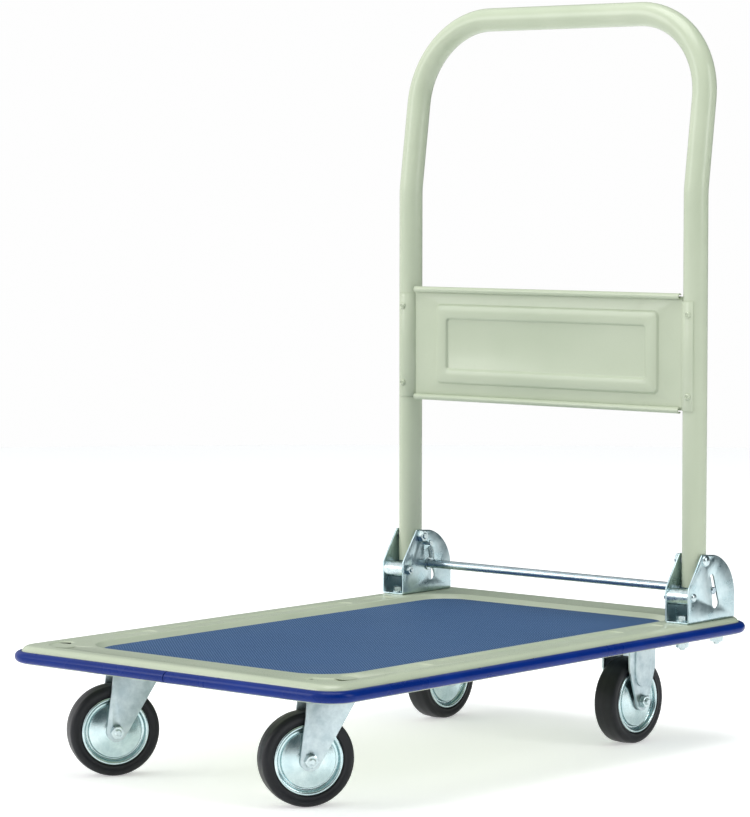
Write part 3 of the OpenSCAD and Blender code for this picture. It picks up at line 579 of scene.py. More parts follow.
side = [(-33, -1), (-33, 39), (-32.4, 40.8), (-8, 77), (-6.5, 77.8)]
side += arc(7, 26, 51, 78, 2, 24) + [(57.75, 24), (57.75, -1)]
bracket = channel("bracket", cheek, 0.002, 0.0035, 0.09, leg_y - 0.05, leg_y + 0.08)
cut(bracket, prism("side", yz(side, leg_x - 0.03), (0.06, 0, 0)), "INTERSECT")
tilt = radians(14.5)
slot_dir = Vector((sin(tilt), -cos(tilt)))
a0 = Vector((12, 49))
a1 = a0 + 27.9 * slot_dir
keyhole = arc(a0.x, a0.y, 5.0, 14.5, 194.5, 14)
pocket = a1 + Vector((1, -1.5))
keyhole += arc(pocket.x, pocket.y, 6.5, 152, 402, 20)
cut(bracket, prism("slot", yz(keyhole, leg_x - 0.03), (0.06, 0, 0)))
pivot_h, stop_h = 70.0, 30.0
stop_y = -23.8
for y, z, r in ((0, pivot_h, 4.15), (stop_y, stop_h, 3.15)):
    drill(bracket, (leg_x, leg_y + y / 1000, foot + z / 1000), r / 1000, 0.06, across=True)
soften(bracket, 0.00035, 2, 40)
bracket_left = copy_of(bracket, "bracket_left", mirror=True)
bracket.name = "bracket_right"
for o, s in ((bracket, "right"), (bracket_left, "left")):
    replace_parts(o, "hinge_bracket_" + s)
    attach(o, "platform")
print("bracket", [round(v * 1000, 1) for v in bracket.dimensions])

# %% [markdown]
# ## Screws, nuts and washers
# A hex head is a six-sided prism intersected with a turned blank: the blank's cone gives the rounded
# chamfer on every corner. Threads are stacked grooves, which is all that shows at this size.

# %% Hex heads, nuts, threaded rods, washers and domes
def hexagon(name, flat, height, centre, bore=0.0, both=False):
    """A hex head or nut lying along +Z from centre."""
    only()
    bpy.ops.mesh.primitive_cylinder_add(vertices=6, radius=flat / sqrt(3), depth=height,
                                        location=Vector(centre) + Vector((0, 0, height / 2)))
    o = finish(bpy.context.object)
    o.name = name
    r, c = flat / sqrt(3), flat * 0.47
    low = [(0, -0.0001), (r + 1e-4, -0.0001)] if not both else [(0, 0), (c, 0), (r + 1e-4, (r - c) * 0.55)]
    high = [(r + 1e-4, height - (r - c) * 0.55), (c, height), (0, height)]
    blank = turned("blank", low + high, centre, "Z", steps=48)
    cut(o, blank, "INTERSECT")
    if bore:
        past = height + 0.001
        hole = [(0, -0.001), (bore, -0.001), (bore, past), (0, past)]
        cut(o, turned("bore", hole, centre, "Z", steps=32))
    return finish(o, 25)


def threaded(name, r, length, centre, pitch=0.00125):
    """A threaded end along +Z with a chamfered tip."""
    points = [(0, 0)]
    z = 0.0
    while z + pitch < length - 0.0008:
        points += [(r - 0.0006, z), (r, z + pitch * 0.5)]
        z += pitch
    points += [(r - 0.0006, z), (r - 0.0006, length - 0.0006), (r - 0.0012, length), (0, length)]
    return turned(name, points, centre, "Z", steps=28)


def washer(name, r_out, r_in, height, centre):
    b = 0.0002
    pts = [(r_in, 0), (r_out - b, 0), (r_out, b), (r_out, height - b), (r_out - b, height), (r_in, height)]
    return turned(name, pts, centre, "Z", closed=True, steps=40)


def lay(o, where, towards):
    """Turns a part made along +Z at the origin so that it points towards a side, and moves it."""
    turn = Vector(UP).rotation_difference(Vector(towards)).to_matrix().to_4x4()
    o.data.transform(Matrix.Translation(where) @ turn)
    return o


def hex_bolt(length):
    head = hexagon("head", 0.013, 0.0053, ORIGIN)
    return join("bolt", [head, lay(threaded("thread", 0.004, length, ORIGIN), (0, 0, 0.0002), DOWN)])


def m8_nut():
    return hexagon("n", 0.013, 0.0065, ORIGIN, 0.0039, both=True)


def set_of(name, master, places, node, body):
    """Copies of a part made at the origin, one at each (place, direction), joined into one object."""
    copies = []
    for where, towards in places:
        copies.append(lay(copy_of(master, name), where, towards))
    bpy.data.objects.remove(master)
    o = join(name, copies)
    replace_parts(o, node)
    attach(o, body)
    return o


# %% Fasteners of the brackets
sides = (-1, 1)
base_y = (leg_y - 0.022, leg_y + 0.04575)
plate_top = foot + 0.002
wash = 0.0016
under_deck = foot - 0.020
set_of("bracket_bolt_set", hex_bolt(0.0345),
       [((s * leg_x, y, plate_top + wash), UP) for s in sides for y in base_y],
       "bracket_bolts", "platform")
set_of("bracket_washer_set", washer("w", 0.008, 0.0042, wash, ORIGIN),
       [((s * leg_x, y, z), UP) for s in sides for y in base_y for z in (plate_top, under_deck - wash)],
       "bracket_washers", "platform")
set_of("bracket_nut_set", m8_nut(),
       [((s * leg_x, y, under_deck - wash - 0.0065), UP) for s in sides for y in base_y],
       "bracket_nuts", "platform")


def dome_bolt(name, r_head, rise, r, length):
    dome = ((0, 1), (0.35, 0.96), (0.65, 0.78), (0.88, 0.45), (0.98, 0.15), (1, 0))
    head = [(r_head * w, rise * h) for w, h in dome] + [(r, 0)]
    smooth_end = -length * 0.6
    shank = turned(name, head + [(r, smooth_end), (0, smooth_end)], ORIGIN, "Z", steps=40)
    end = lay(threaded("end", r, length * 0.45, ORIGIN, 0.001), (0, 0, -length * 0.56), DOWN)
    return join(name, [shank, end])


pivot_z, stop_z = foot + pivot_h / 1000, foot + stop_h / 1000
stop_pos = leg_y + stop_y / 1000
set_of("pivot_bolt_set", dome_bolt("p", 0.0065, 0.0036, 0.004, 2 * cheek + 0.0075),
       [((s * (leg_x + cheek), leg_y, pivot_z), (s, 0, 0)) for s in sides], "pivot_bolts", "platform")
set_of("pivot_nut_set", m8_nut(),
       [((s * (leg_x - cheek), leg_y, pivot_z), (-s, 0, 0)) for s in sides], "pivot_nuts", "platform")
set_of("stop_bolt_set", dome_bolt("p", 0.005, 0.0026, 0.003, 2 * cheek + 0.006),
       [((s * (leg_x + cheek), stop_pos, stop_z), (s, 0, 0)) for s in sides], "stop_bolts", "platform")
set_of("stop_nut_set", hexagon("n", 0.010, 0.005, (0, 0, 0), 0.0029, both=True),
       [((s * (leg_x - cheek), stop_pos, stop_z), (-s, 0, 0)) for s in sides], "stop_nuts", "platform")
set_of("stop_sleeve_set", washer("w", 0.0095, 0.0032, 0.029, ORIGIN),
       [((s * (leg_x - 0.0145), stop_pos, stop_z), (s, 0, 0)) for s in sides], "stop_sleeves", "platform")
print("bracket hardware done")

# %% [markdown]
# ## Foot bar and springs
# The bar is turned down at its ends, so that its shoulders keep it between the cheeks. Each spring is a
# coil of wire with a hook at both ends. It joins a fixed stud to the moving bar.

# %% Bar and washers
bar_lo, bar_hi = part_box("lock_bar")
bar_c = Vector((0, (bar_lo.y + bar_hi.y) / 2, (bar_lo.z + bar_hi.z) / 2))
bar_r, end_r = (bar_hi.z - bar_lo.z) / 2, 0.0042
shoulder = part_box("bar_washers")[1].x - 0.0012 - 0.00005
tip = bar_hi.x
half_bar = [(end_r, -tip + 0.0008), (end_r, -shoulder - 0.0001), (bar_r - 0.0006, -shoulder),
            (bar_r, -shoulder + 0.0007)]
other_half = [(r, -h) for r, h in reversed(half_bar)] + [(end_r - 0.0008, tip), (0, tip)]
bar = turned("foot_bar", [(0, -tip), (end_r - 0.0008, -tip)] + half_bar + other_half, bar_c, "X", steps=48)
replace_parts(bar, "lock_bar")
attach(bar, "lock_bar")
set_of("bar_washer_set", washer("w", bar_r + 0.003, end_r + 0.0001, 0.0012, ORIGIN),
       [((s * (shoulder + 0.00005), bar_c.y, bar_c.z), (s, 0, 0)) for s in sides], "bar_washers", "lock_bar")

# %% Studs and springs
stud_lo, stud_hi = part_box("spring_studs")
stud_c = Vector((0, (stud_lo.y + stud_hi.y) / 2, (stud_lo.z + stud_hi.z) / 2))
inner_x = leg_x - cheek
spr_lo, spr_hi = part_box("lock_spring_right")
spring_x = (spr_lo.x + spr_hi.x) / 2
stud_in = inner_x - (spring_x - 0.0024)
stud_head = [(0.0032, 0.0001), (0.0035, 0.0004), (0.0035, 0.0009), (0.0031, 0.0012), (0, 0.0012)]
stud_side = [(0, 0.0), (0.0025, 0), (0.0025, stud_in)] + [(r, stud_in + h) for r, h in stud_head]
stud = turned("stud", stud_side, ORIGIN, "Z", steps=32)
rivet_end = turned("rivet_end", [(0, -0.002), (0.0027, -0.002), (0.0025, 0.0), (0, 0.0002)],
                   ORIGIN, "Z", steps=32)
set_of("stud_set", join("stud", [rivet_end, stud]),
       [((s * inner_x, stud_c.y, stud_c.z), (-s, 0, 0)) for s in sides], "spring_studs", "platform")
along = (stud_c - bar_c)
reach = along.length
along.normalize()
out = Vector((0, along.z, -along.y))
wire_r, coil_r = 0.0005, 0.00275


def spring(name, x):
    """The path runs up a hook round the bar, through the coil, and over the stud."""
    def at(u, v, w):
        return Vector((x + u, 0, 0)) + Vector((0, bar_c.y, bar_c.z)) + out * v + along * w
    low, high = bar_r + 0.00065, 0.0025 + 0.00065
    z0, z1 = low + 0.002, reach - high - 0.0016
    points = [at(0, low * cos(a), low * sin(a))
              for a in [radians(-150 + 205 * i / 14) for i in range(15)]]
    turns = int((z1 - z0) / 0.00118)
    points += [at(coil_r * sin(2 * pi * i / 16), coil_r * cos(2 * pi * i / 16),
                  z0 + (z1 - z0) * i / (turns * 16)) for i in range(turns * 16 + 1)]
    points += [at(0, high * cos(a), reach + high * sin(a))
               for a in [radians(-55 + 245 * i / 14) for i in range(15)]]
    only()
    bpy.ops.curve.primitive_nurbs_path_add()
    c = bpy.context.object
    c.data.splines.clear()
    s = c.data.splines.new("POLY")
    s.points.add(len(points) - 1)
    for p, q in zip(s.points, points):
        p.co = (*q, 1)
    c.data.bevel_depth = wire_r
    c.data.bevel_resolution = 2
    c.data.use_fill_caps = True
    only(c)
    bpy.ops.object.convert(target="MESH")
    o = bpy.context.object
    o.name = name
    return finish(o, 60)


for s, side_name in HANDS:
    coil = spring("spring_" + side_name, s * spring_x)
    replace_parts(coil, "lock_spring_" + side_name)
    Vector((s * spring_x, 0, 0)) + stud_c - along * 0.0035
    Vector((s * spring_x, 0, 0)) + bar_c + along * 0.007
    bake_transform(coil)
print("springs", round(reach * 1000, 1), "mm between hooks")

# %% [markdown]
# ## Casters
# A fixed fork is a plate with two pressed legs, each with a raised rib. A swivel fork is one folded
# channel whose legs sweep back to the axle. Both are pushed out from an outline and softened.

# %% Plates and fixed forks
fork_lo, fork_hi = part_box("rigid_fork_right")
fork_c = Vector(((fork_lo.x + fork_hi.x) / 2, (fork_lo.y + fork_hi.y) / 2, 0.05))
plate_bottom = fork_hi.z - 0.0025
hole_x, hole_y = 0.030, 0.040
axle_bore = 0.00415


def plate(name, x, y):
    o = rounded_face(name, (x, y, plate_bottom), (0.0425, 0.0525), 0.008, segments=8)
    bpy.ops.mesh.extrude_region_move(TRANSFORM_OT_translate={"value": (0, 0, 0.0025)})
    finish(o)
    for i in (-1, 1):
        for j in (-1, 1):
            drill(o, (x + i * hole_x, y + j * hole_y, plate_bottom), 0.0045, 0.02, vertices=28)
    return o


def leg_outline(points, end, radius):
    """Side outline (y, z) from the two top corners down to a round end: points are (front, rear) chains."""
    front, rear = points

    def touch(p, side):
        d = Vector(p) - Vector(end)
        a = atan2(d.y, d.x) + side * acos(radius / d.length)
        return a
    a_front, a_rear = touch(front[-1], 1), touch(rear[-1], -1)
    if a_front < 0:
        a_front += 2 * pi
    if a_rear < a_front:
        a_rear += 2 * pi
    round_end = [(end[0] + radius * cos(a_front + (a_rear - a_front) * i / 16),
                  end[1] + radius * sin(a_front + (a_rear - a_front) * i / 16)) for i in range(17)]
    return front + round_end + rear[::-1]


IN, GAUGE = 0.0175, 0.0025
wheel_z = 0.05


def fixed_fork(name, x, y):
    body = plate(name, x, y)
    top = plate_bottom + 0.0005
    leg = leg_outline(([(-0.0245, top), (-0.0245, 0.088)], [(0.0245, top), (0.0245, 0.088)]),
                      (0, wheel_z), 0.011)
    rib = [(0.015, plate_bottom), (-0.015, plate_bottom)] + arc(0, 0.082, 0.015, 180, 360, 14)
    for s in (-1, 1):
        cheek_leg = prism("leg", [(x + s * IN, y + a, z) for a, z in leg], (s * GAUGE, 0, 0))
        raised = prism("rib", [(x + s * (IN + 0.001), y + a, z) for a, z in rib], (s * (GAUGE + 0.001), 0, 0))
        cut(cheek_leg, raised, "UNION")
        dent = [(a * 0.86, 0.082 + (z - 0.082) * (0.86 if z < 0.082 else 1.02)) for a, z in rib]
        cut(cheek_leg, prism("dent", [(x + s * (IN - 0.001), y + a, z) for a, z in dent], (s * 0.003, 0, 0)))
        cut(body, finish(cheek_leg), "UNION")
    drill(body, (x, y, wheel_z), axle_bore, 0.06, across=True)
    return soften(body, 0.0006, 2, 40)


fork = fixed_fork("fork_rear_right", fork_c.x, fork_c.y)
fork_left = copy_of(fork, "fork_rear_left", mirror=True)
for o, s in ((fork, "right"), (fork_left, "left")):
    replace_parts(o, "rigid_fork_" + s)
    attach(o, "platform")
print("fixed fork", [round(v * 1000, 1) for v in fork.dimensions])

# %% Swivel plates, pins and forks
pin_lo, pin_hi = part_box("king_pins")
pin_x, pin_y = pin_hi.x - 0.011, (pin_lo.y + pin_hi.y) / 2
joint = next(j for j in frame["joints"] if j["name"] == "wheel_front_right_spin")
axle_at = Vector(joint["pos_m"])
trail = (Vector((pin_x, pin_y, axle_at.z)) - axle_at).length
turn_by = atan2(joint["axis"][1], joint["axis"][0])
crown_z = 0.113
top_plates = [plate("plate", s * pin_x, pin_y) for s in sides]
for o, s in zip(top_plates, sides):
    drill(o, (s * pin_x, pin_y, plate_bottom), 0.006, 0.02, vertices=40)
top_plates = soften(join("top_plates", top_plates), 0.0005, 2, 40)
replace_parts(top_plates, "swivel_plates")
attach(top_plates, "platform")


def swivel_fork(name):
    """Made straight behind the pin on the Y axis, then turned and moved."""
    mid, z = 0.016, crown_z - 0.004
    section = [(-0.02, 0.0)] + arc(-mid, z, 0.004, 180, 90, 6) + arc(mid, z, 0.004, 90, 0, 6)
    section += [(0.02, 0.0), (IN, 0.0)] + arc(mid, z, 0.0015, 0, 90, 6) + arc(-mid, z, 0.0015, 90, 180, 6)
    section += [(-IN, 0.0)]
    body = prism(name, [(x, -0.07, z) for x, z in section], (0, 0.12, 0))
    above, below = crown_z + 0.002, crown_z - 0.002
    side_cut = leg_outline(([(-trail - 0.003, above), (-trail - 0.0034, below)],
                            [(0.013, above), (0.0128, below)]), (-trail, wheel_z), 0.011)
    cut(body, prism("side", [(-0.03, y, z) for y, z in side_cut], (0.06, 0, 0)), "INTERSECT")
    crown = turned("crown", [(r, crown_z + h) for r, h in
                             [(0, -0.0025), (0.0235, -0.0025), (0.024, -0.002), (0.024, -0.0006),
                              (0.0234, -0.00002), (0, -0.00002)]], ORIGIN, "Z")
    cut(body, crown, "UNION")
    hole = [(r, crown_z + h) for r, h in [(0, -0.01), (0.00605, -0.01), (0.00605, 0.01), (0, 0.01)]]
    cut(body, turned("bore", hole, ORIGIN, "Z"))
    drill(body, (0, -trail, wheel_z), axle_bore, 0.06, across=True)
    return soften(body, 0.0006, 2, 40)


master = swivel_fork("fork")
for s, side_name in HANDS:
    o = copy_of(master, "fork_front_" + side_name)
    o.data.transform(Matrix.Translation((s * pin_x, pin_y, 0)) @ Matrix.Rotation(turn_by, 4, "Z"))
    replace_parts(o, "swivel_fork_" + side_name)
    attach(o, "swivel_" + side_name)
bpy.data.objects.remove(master)
print("swivel fork trail", round(trail, 4), "turned", round(degrees(turn_by), 1))

# %% Caster screws and axles
rear_x, rear_y = fork_c.x, fork_c.y
bolt_places = [(s * x + i * hole_x, y + j * hole_y) for s in sides
               for x, y in ((rear_x, rear_y), (pin_x, pin_y)) for i in sides for j in sides]
set_of("caster_bolt_set", hex_bolt(0.0115),
       [((x, y, plate_bottom), DOWN) for x, y in bolt_places], "caster_bolts", "platform")
set_of("weld_nut_set", m8_nut(),
       [((x, y, fork_hi.z + 0.0015), UP) for x, y in bolt_places], "caster_weld_nuts", "platform")
out_x = IN + GAUGE
axle = join("axle", [hexagon("head", 0.013, 0.0053, ORIGIN),
                     lay(threaded("thread", 0.004, 2 * out_x + 0.009, ORIGIN), (0, 0, 0.0001), DOWN)])
axle_parts = (("axle", axle, -out_x, -1, "bolts"), ("nut", m8_nut(), out_x, 1, "nuts"),
              ("sleeve", washer("w", 0.006, 0.00405, 2 * IN, ORIGIN), -IN, 1, "sleeves"))
whole = join("axle_whole", [lay(copy_of(part, label), (x, -trail, wheel_z), (way, 0, 0))
                            for label, part, x, way, ending in axle_parts])
for label, part, x, way, ending in axle_parts:
    set_of(f"rigid_{label}_set", part, [((s * rear_x + x, rear_y, wheel_z), (way, 0, 0)) for s in sides],
           "rigid_axle_" + ending, "platform")
for s, side_name in HANDS:
    o = copy_of(whole, "swivel_axle_set_" + side_name)
    o.data.transform(Matrix.Translation((s * pin_x, pin_y, 0)) @ Matrix.Rotation(turn_by, 4, "Z"))
    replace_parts(o, "swivel_axle_" + side_name)
    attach(o, "swivel_" + side_name)
bpy.data.objects.remove(whole)
print("caster screws:", len(bolt_places))

# %% [markdown]
# ## Wheels
# Tyre, rim discs and hub are turned parts, so one profile each is spun about the axle. The tyre has
# round shoulders and a fine mould line. The disc has a domed middle, a groove and a rolled bead.

# %% Wheel masters, made about the X axis at the origin
def half_and_mirror(points):
    """points are (radius, side offset) on one side; adds the other side in reverse."""
    return points + [(r, -o) for r, o in reversed(points)]


R, W = 0.05, 0.0145
tyre_side = [(R, 0.0001), (R - 0.00002, 0.0006), (R - 0.0002, 0.0035), (R - 0.0006, 0.0075)]
tyre_side += arc(R - 0.0056, W - 0.0050, 0.0050, 10, 85, 5)
tyre_side += [(R - 0.0075, W - 0.0001), (R - 0.0088, W - 0.0006), (R - 0.0100, W - 0.0004),
              (0.0388, W - 0.0002), (0.0379, W - 0.0008), (0.0377, W - 0.0018), (0.0377, 0.0096),
              (0.0344, 0.0094)]
tyre = turned("tyre", half_and_mirror(tyre_side), ORIGIN, "X", closed=True, steps=96)
# a disc of sheet, its outside face first and its inside face back
outer_face = [(0.0100, 0.0155 - 0.0005), (0.0110, 0.0152)]
dome_r, dome_top = 0.10931, 0.0155
outer_face += [(r, dome_top - dome_r + sqrt(dome_r ** 2 - r * r))
               for r in mm(12, 15, 18, 21, 24, 26.5, 28)]
outer_face += [(0.0289, 0.0117), (0.0293, 0.0111), (0.0294, 0.0103), (0.0296, 0.0096), (0.0302, 0.0092),
               (0.0316, 0.0092), (0.0323, 0.0095), (0.0328, 0.0102), (0.0330, 0.0112), (0.0330, 0.0120)]
bead_r, bead_z, bead = 0.03525, 0.012, 0.00225
outer_face += [(bead_r + bead * cos(radians(a)), bead_z + bead * sin(radians(a)))
               for a in (165, 145, 125, 105, 90, 70, 50, 30, 15, 0)]
outer_face += [(0.0375, 0.0098)]
inner_face = [(0.0364, 0.0098), (0.0363, 0.0119)] + arc(bead_r, bead_z, 0.00105, 30, 150, 4)
inner_face += [(0.0342, 0.0116), (0.0342, 0.0002), (0.0330, 0.0002), (0.0330, 0.0078), (0.0300, 0.0080),
               (0.0284, 0.0086), (0.0281, 0.0103), (0.0250, 0.0115), (0.0200, 0.0126), (0.0100, 0.0138)]
disc = turned("disc", outer_face + inner_face, ORIGIN, "X", closed=True, steps=96)
discs = join("discs", [copy_of(disc, "d2", mirror=True), disc])
hub_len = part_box("hub_rear_right")
hub_h = (hub_len[1].x - hub_len[0].x) / 2
hub_side = [(0.00605, -hub_h), (0.0096, -hub_h), (0.0100, -hub_h + 0.0004)]
hub = turned("hub", hub_side + [(r, -h) for r, h in reversed(hub_side)], ORIGIN, "X", closed=True, steps=48)
for p in ("front", "rear"):
    for s, side_name in HANDS:
        if p == "front":
            m = (Matrix.Translation((s * pin_x, pin_y, 0)) @ Matrix.Rotation(turn_by, 4, "Z")
                 @ Matrix.Translation((0, -trail, wheel_z)))
        else:
            m = Matrix.Translation((s * rear_x, rear_y, wheel_z))
        for source, label, node in ((tyre, "tyre", "tyre"), (discs, "wheel_discs", "rim"),
                                    (hub, "wheel_hub", "hub")):
            o = copy_of(source, f"{label}_{p}_{side_name}_piece")
            o.data.transform(m)
            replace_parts(o, f"{node}_{p}_{side_name}")
            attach(o, f"wheel_{p}_{side_name}")
for o in (tyre, discs, hub):
    bpy.data.objects.remove(o)
print("four wheels placed, radius", R)

# %% [markdown]
# ## Materials
# Shader maths is easier to read as plain sums, so a small class wraps a socket and adds the Math nodes.
# Every pattern is in object coordinates: pieces keep their place in their mesh, so one metre in the
# shader is one metre on the cart.

# %% A small shader language
class Value:
    def __init__(self, net, socket):
        self.net, self.socket = net, socket

    def _math(self, kind, *others):
        return self.net.node("ShaderNodeMath", self, *others, operation=kind)

    def __add__(self, o): return self._math("ADD", o)
    def __sub__(self, o): return self._math("SUBTRACT", o)
    def __mul__(self, o): return self._math("MULTIPLY", o)
    def __truediv__(self, o): return self._math("DIVIDE", o)
    def sin(self): return self._math("SINE")
    def power(self, o): return self._math("POWER", o)

    def ramp(self, low, high, out_low=0.0, out_high=1.0):
        return self.net.node("ShaderNodeMapRange", self, low, high, out_low, out_high)


class Net:
    def __init__(self, name):
        self.material = bpy.data.materials.new(name)
        self.material.use_nodes = True
        self.tree = self.material.node_tree
        self.shader = self.tree.nodes["Principled BSDF"]
        self.here = self.node("ShaderNodeTexCoord", out="Object")

    def node(self, kind, *inputs, out=0, named=None, **settings):
        n = self.tree.nodes.new(kind)
        for key, value in settings.items():
            setattr(n, key, value)
        for i, value in list(enumerate(inputs)) + list((named or {}).items()):
            if isinstance(value, Value):
                self.tree.links.new(value.socket, n.inputs[i])
            elif value is not None:
                n.inputs[i].default_value = value
        return Value(self, n.outputs[out])

    def noise(self, scale, detail=3.0, roughness=0.5, where=None):
        return self.node("ShaderNodeTexNoise", named={"Vector": where or self.here, "Scale": scale,
                                                      "Detail": detail, "Roughness": roughness})

    def mix(self, share, a, b):
        n = self.tree.nodes.new("ShaderNodeMix")
        n.data_type = "RGBA"
        for i, value in ((0, share), (6, a), (7, b)):
            if isinstance(value, Value):
                self.tree.links.new(value.socket, n.inputs[i])
            else:
                n.inputs[i].default_value = value if i == 0 else (*value, 1)
        return Value(self, n.outputs[2])

    def bump(self, height, strength, distance):
        return self.node("ShaderNodeBump", named={"Strength": strength, "Distance": distance,
                                                  "Height": height})

    def stretch(self, x, y, z):
        return self.node("ShaderNodeMapping", self.here, None, ORIGIN, (x, y, z))

    def split(self, where=None):
        n = self.tree.nodes.new("ShaderNodeSeparateXYZ")
        self.tree.links.new((where or self.here).socket, n.inputs[0])
        return [Value(self, s) for s in n.outputs]

    def set(self, **values):
        for key, value in values.items():
            socket = self.shader.inputs[key.replace("_", " ")]
            if isinstance(value, Value):
                self.tree.links.new(value.socket, socket)
            else:
                socket.default_value = value if not isinstance(value, tuple) else (*value, 1)
        return self.material


print("shader language ready")

# %% [markdown]
# The powder coat is a pale green-grey gloss paint. It is never perfectly flat, so a faint orange peel and
# a slow change of tone are added, with a little grime in scattered patches.

# %% Paint
def paint(name):
    n = Net(name)
    slow = n.noise(9, 2)
    speck = n.noise(900, 2)
    base = n.mix(slow.ramp(0.3, 0.7), (0.43, 0.49, 0.36), (0.475, 0.53, 0.40))
    grime = n.noise(46, 4, 0.65).ramp(0.60, 0.74)
    base = n.mix(grime * 0.10, base, (0.36, 0.38, 0.29))
    peel = n.bump(n.noise(420, 2), 0.05, 0.0004)
    return n.set(Base_Color=base, Specular_IOR_Level=0.38,
                 Roughness=speck.ramp(0.3, 0.7, 0.27, 0.34) + grime * 0.08,
                 Coat_Weight=0.15, Coat_Roughness=0.10, Normal=peel)


deck_paint = paint("deck_paint")
handle_paint = paint("handle_paint")

# %% [markdown]
# The mat is vinyl embossed with short slanted threads, like a coarse twill. Two crossed waves, cut into
# short floats, make the weave. Its colour follows the height: painted shade darkens the gaps, and the tops of
# the floats are painted paler, as if lit.

# %% Mat
def mat_material():
    n = Net("mat_vinyl")
    wobble = n.noise(160, 2)
    x, y, z = n.split()
    u = (x * 0.80 + y * 0.60) * 2200 + wobble * 1.6
    v = (y * 0.80 - x * 0.60) * 950 + wobble * 1.2
    weft = v.sin() * 0.5 + 0.5
    row = (v * 0.5).sin().ramp(-0.2, 0.2)
    shifted = ((u + row * 3.14159).sin() * 0.5 + 0.5) * weft.power(0.7)
    fleck = n.noise(620, 3, 0.6)
    height = shifted * 0.8 + fleck * 0.35
    slow = n.noise(7, 3)
    # painted shade: the dark colour goes in the gaps and the pale colour on the float tops, picked by height
    low, high = (0.010, 0.040, 0.12), (0.12, 0.23, 0.40)
    base = n.mix(height.ramp(0.25, 0.85), low, high)
    base = n.mix(slow.ramp(0.35, 0.7) * 0.25, base, (0.05, 0.11, 0.24))
    return n.set(Base_Color=base, Roughness=height.ramp(0.2, 0.9, 0.62, 0.46), Specular_IOR_Level=0.16,
                 Normal=n.bump(height, 0.55, 0.0006))


mat_vinyl = mat_material()

# %% [markdown]
# Bright zinc plating is a thin bluish metal film over steel. It reflects the room, a little blurred, with
# cloudy patches and fine marks from the rolled sheet under it.

# %% Zinc and steel
def zinc_material(name, light, dark, rough, grain=(1, 1, 12), cloud=55, relief=0.06):
    n = Net(name)
    patches = n.noise(cloud, 4, 0.6)
    fine = n.noise(240, 3, 0.6, n.stretch(*grain))
    base = n.mix(patches.ramp(0.35, 0.68), dark, light)
    marks = n.noise(90, 5, 0.7).ramp(0.62, 0.70)
    base = n.mix(marks * 0.25, base, tuple(c * 0.55 for c in dark))
    return n.set(Base_Color=base, Metallic=1.0,
                 Roughness=patches.ramp(0.3, 0.7, rough, rough + 0.14) + fine * 0.08,
                 Normal=n.bump(fine * 0.6 + patches, relief, 0.0003))


zinc_sheet = zinc_material("zinc_sheet", (0.62, 0.74, 0.76), (0.40, 0.53, 0.56), 0.20)
zinc_fork = zinc_material("zinc_fork", (0.60, 0.69, 0.71), (0.38, 0.47, 0.50), 0.27, cloud=90)
zinc_screw = zinc_material("zinc_screw", (0.66, 0.76, 0.77), (0.46, 0.56, 0.58), 0.18, cloud=160)
zinc_bar = zinc_material("zinc_bar", (0.52, 0.62, 0.67), (0.40, 0.49, 0.54), 0.14, grain=(0.3, 3, 3),
                         relief=0.02)
plain_steel = zinc_material("plain_steel", (0.50, 0.51, 0.52), (0.34, 0.35, 0.37), 0.30)


def disc_material():
    """Pressed discs: cloudy zinc patches with a fine bump."""
    n = Net("zinc_disc")
    patches = n.noise(60, 4, 0.6)
    base = n.mix(patches.ramp(0.35, 0.68), (0.44, 0.58, 0.60), (0.64, 0.76, 0.77))
    return n.set(Base_Color=base, Metallic=1.0, Roughness=patches.ramp(0.3, 0.7, 0.16, 0.26),
                 Normal=n.bump(n.noise(300, 2), 0.05, 0.0003))


zinc_disc = disc_material()

# %% [markdown]
# The bumper is smooth soft plastic and the tyres are black rubber, both darker than they seem: most of
# what shows is the sheen on them.

# %% Bumper and rubber
def plastic_blue():
    n = Net("bumper_blue")
    slow = n.noise(14, 3)
    scuff = n.noise(260, 4, 0.7, n.stretch(1, 1, 5)).ramp(0.60, 0.72)
    base = n.mix(slow.ramp(0.35, 0.7), (0.0, 0.016, 0.15), (0.0, 0.021, 0.19))
    base = n.mix(scuff * 0.08, base, (0.03, 0.07, 0.3))
    return n.set(Base_Color=base, Roughness=slow.ramp(0.3, 0.7, 0.24, 0.32) + scuff * 0.12,
                 Specular_IOR_Level=0.16, Normal=n.bump(n.noise(90, 2), 0.02, 0.0003))


def rubber_black():
    n = Net("tyre_rubber")
    fine = n.noise(700, 3, 0.6)
    dust = n.noise(50, 5, 0.7).ramp(0.5, 0.75)
    base = n.mix(dust * 0.5, (0.0045, 0.0055, 0.008), (0.016, 0.018, 0.022))
    return n.set(Base_Color=base, Roughness=dust.ramp(0, 1, 0.42, 0.58), Specular_IOR_Level=0.35,
                 Normal=n.bump(fine, 0.10, 0.0003))


bumper_blue, tyre_rubber = plastic_blue(), rubber_black()

# %% Give every shown piece its material
by_name = {"deck_shell": deck_paint, "mat_pad": mat_vinyl, "bumper": bumper_blue, "tube": handle_paint,
           "panel": handle_paint, "rivets": handle_paint, "foot_bar": zinc_bar,
           "bracket_right": zinc_sheet, "bracket_left": zinc_sheet}
record_slot = {s["node"]: s["material_slot"] for s in frame["record"]["subparts"]}
slot_material = {"deck_paint": deck_paint, "handle_paint": handle_paint, "bumper": bumper_blue,
                 "mat": mat_vinyl, "zinc": zinc_screw, "plain_steel": plain_steel, "tyre": tyre_rubber}
for o in bpy.data.objects:
    if o.type != "MESH":
        continue
    if o.name in frame["nodes"]:
        material = slot_material[record_slot[o.name]]
        if "race" in o.name:
            material = zinc_fork
    else:
        nodes_of = list(o.get("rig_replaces", []))
        slot_name = record_slot.get(nodes_of[0]) if nodes_of else "zinc"
        material = by_name.get(o.name)
        if material is None and o.name.startswith("fork"):
            material = zinc_fork
        if material is None and o.name.startswith("wheel_discs"):
            material = zinc_disc
        material = material or slot_material[slot_name]
    o.data.materials.clear()
    o.data.materials.append(material)

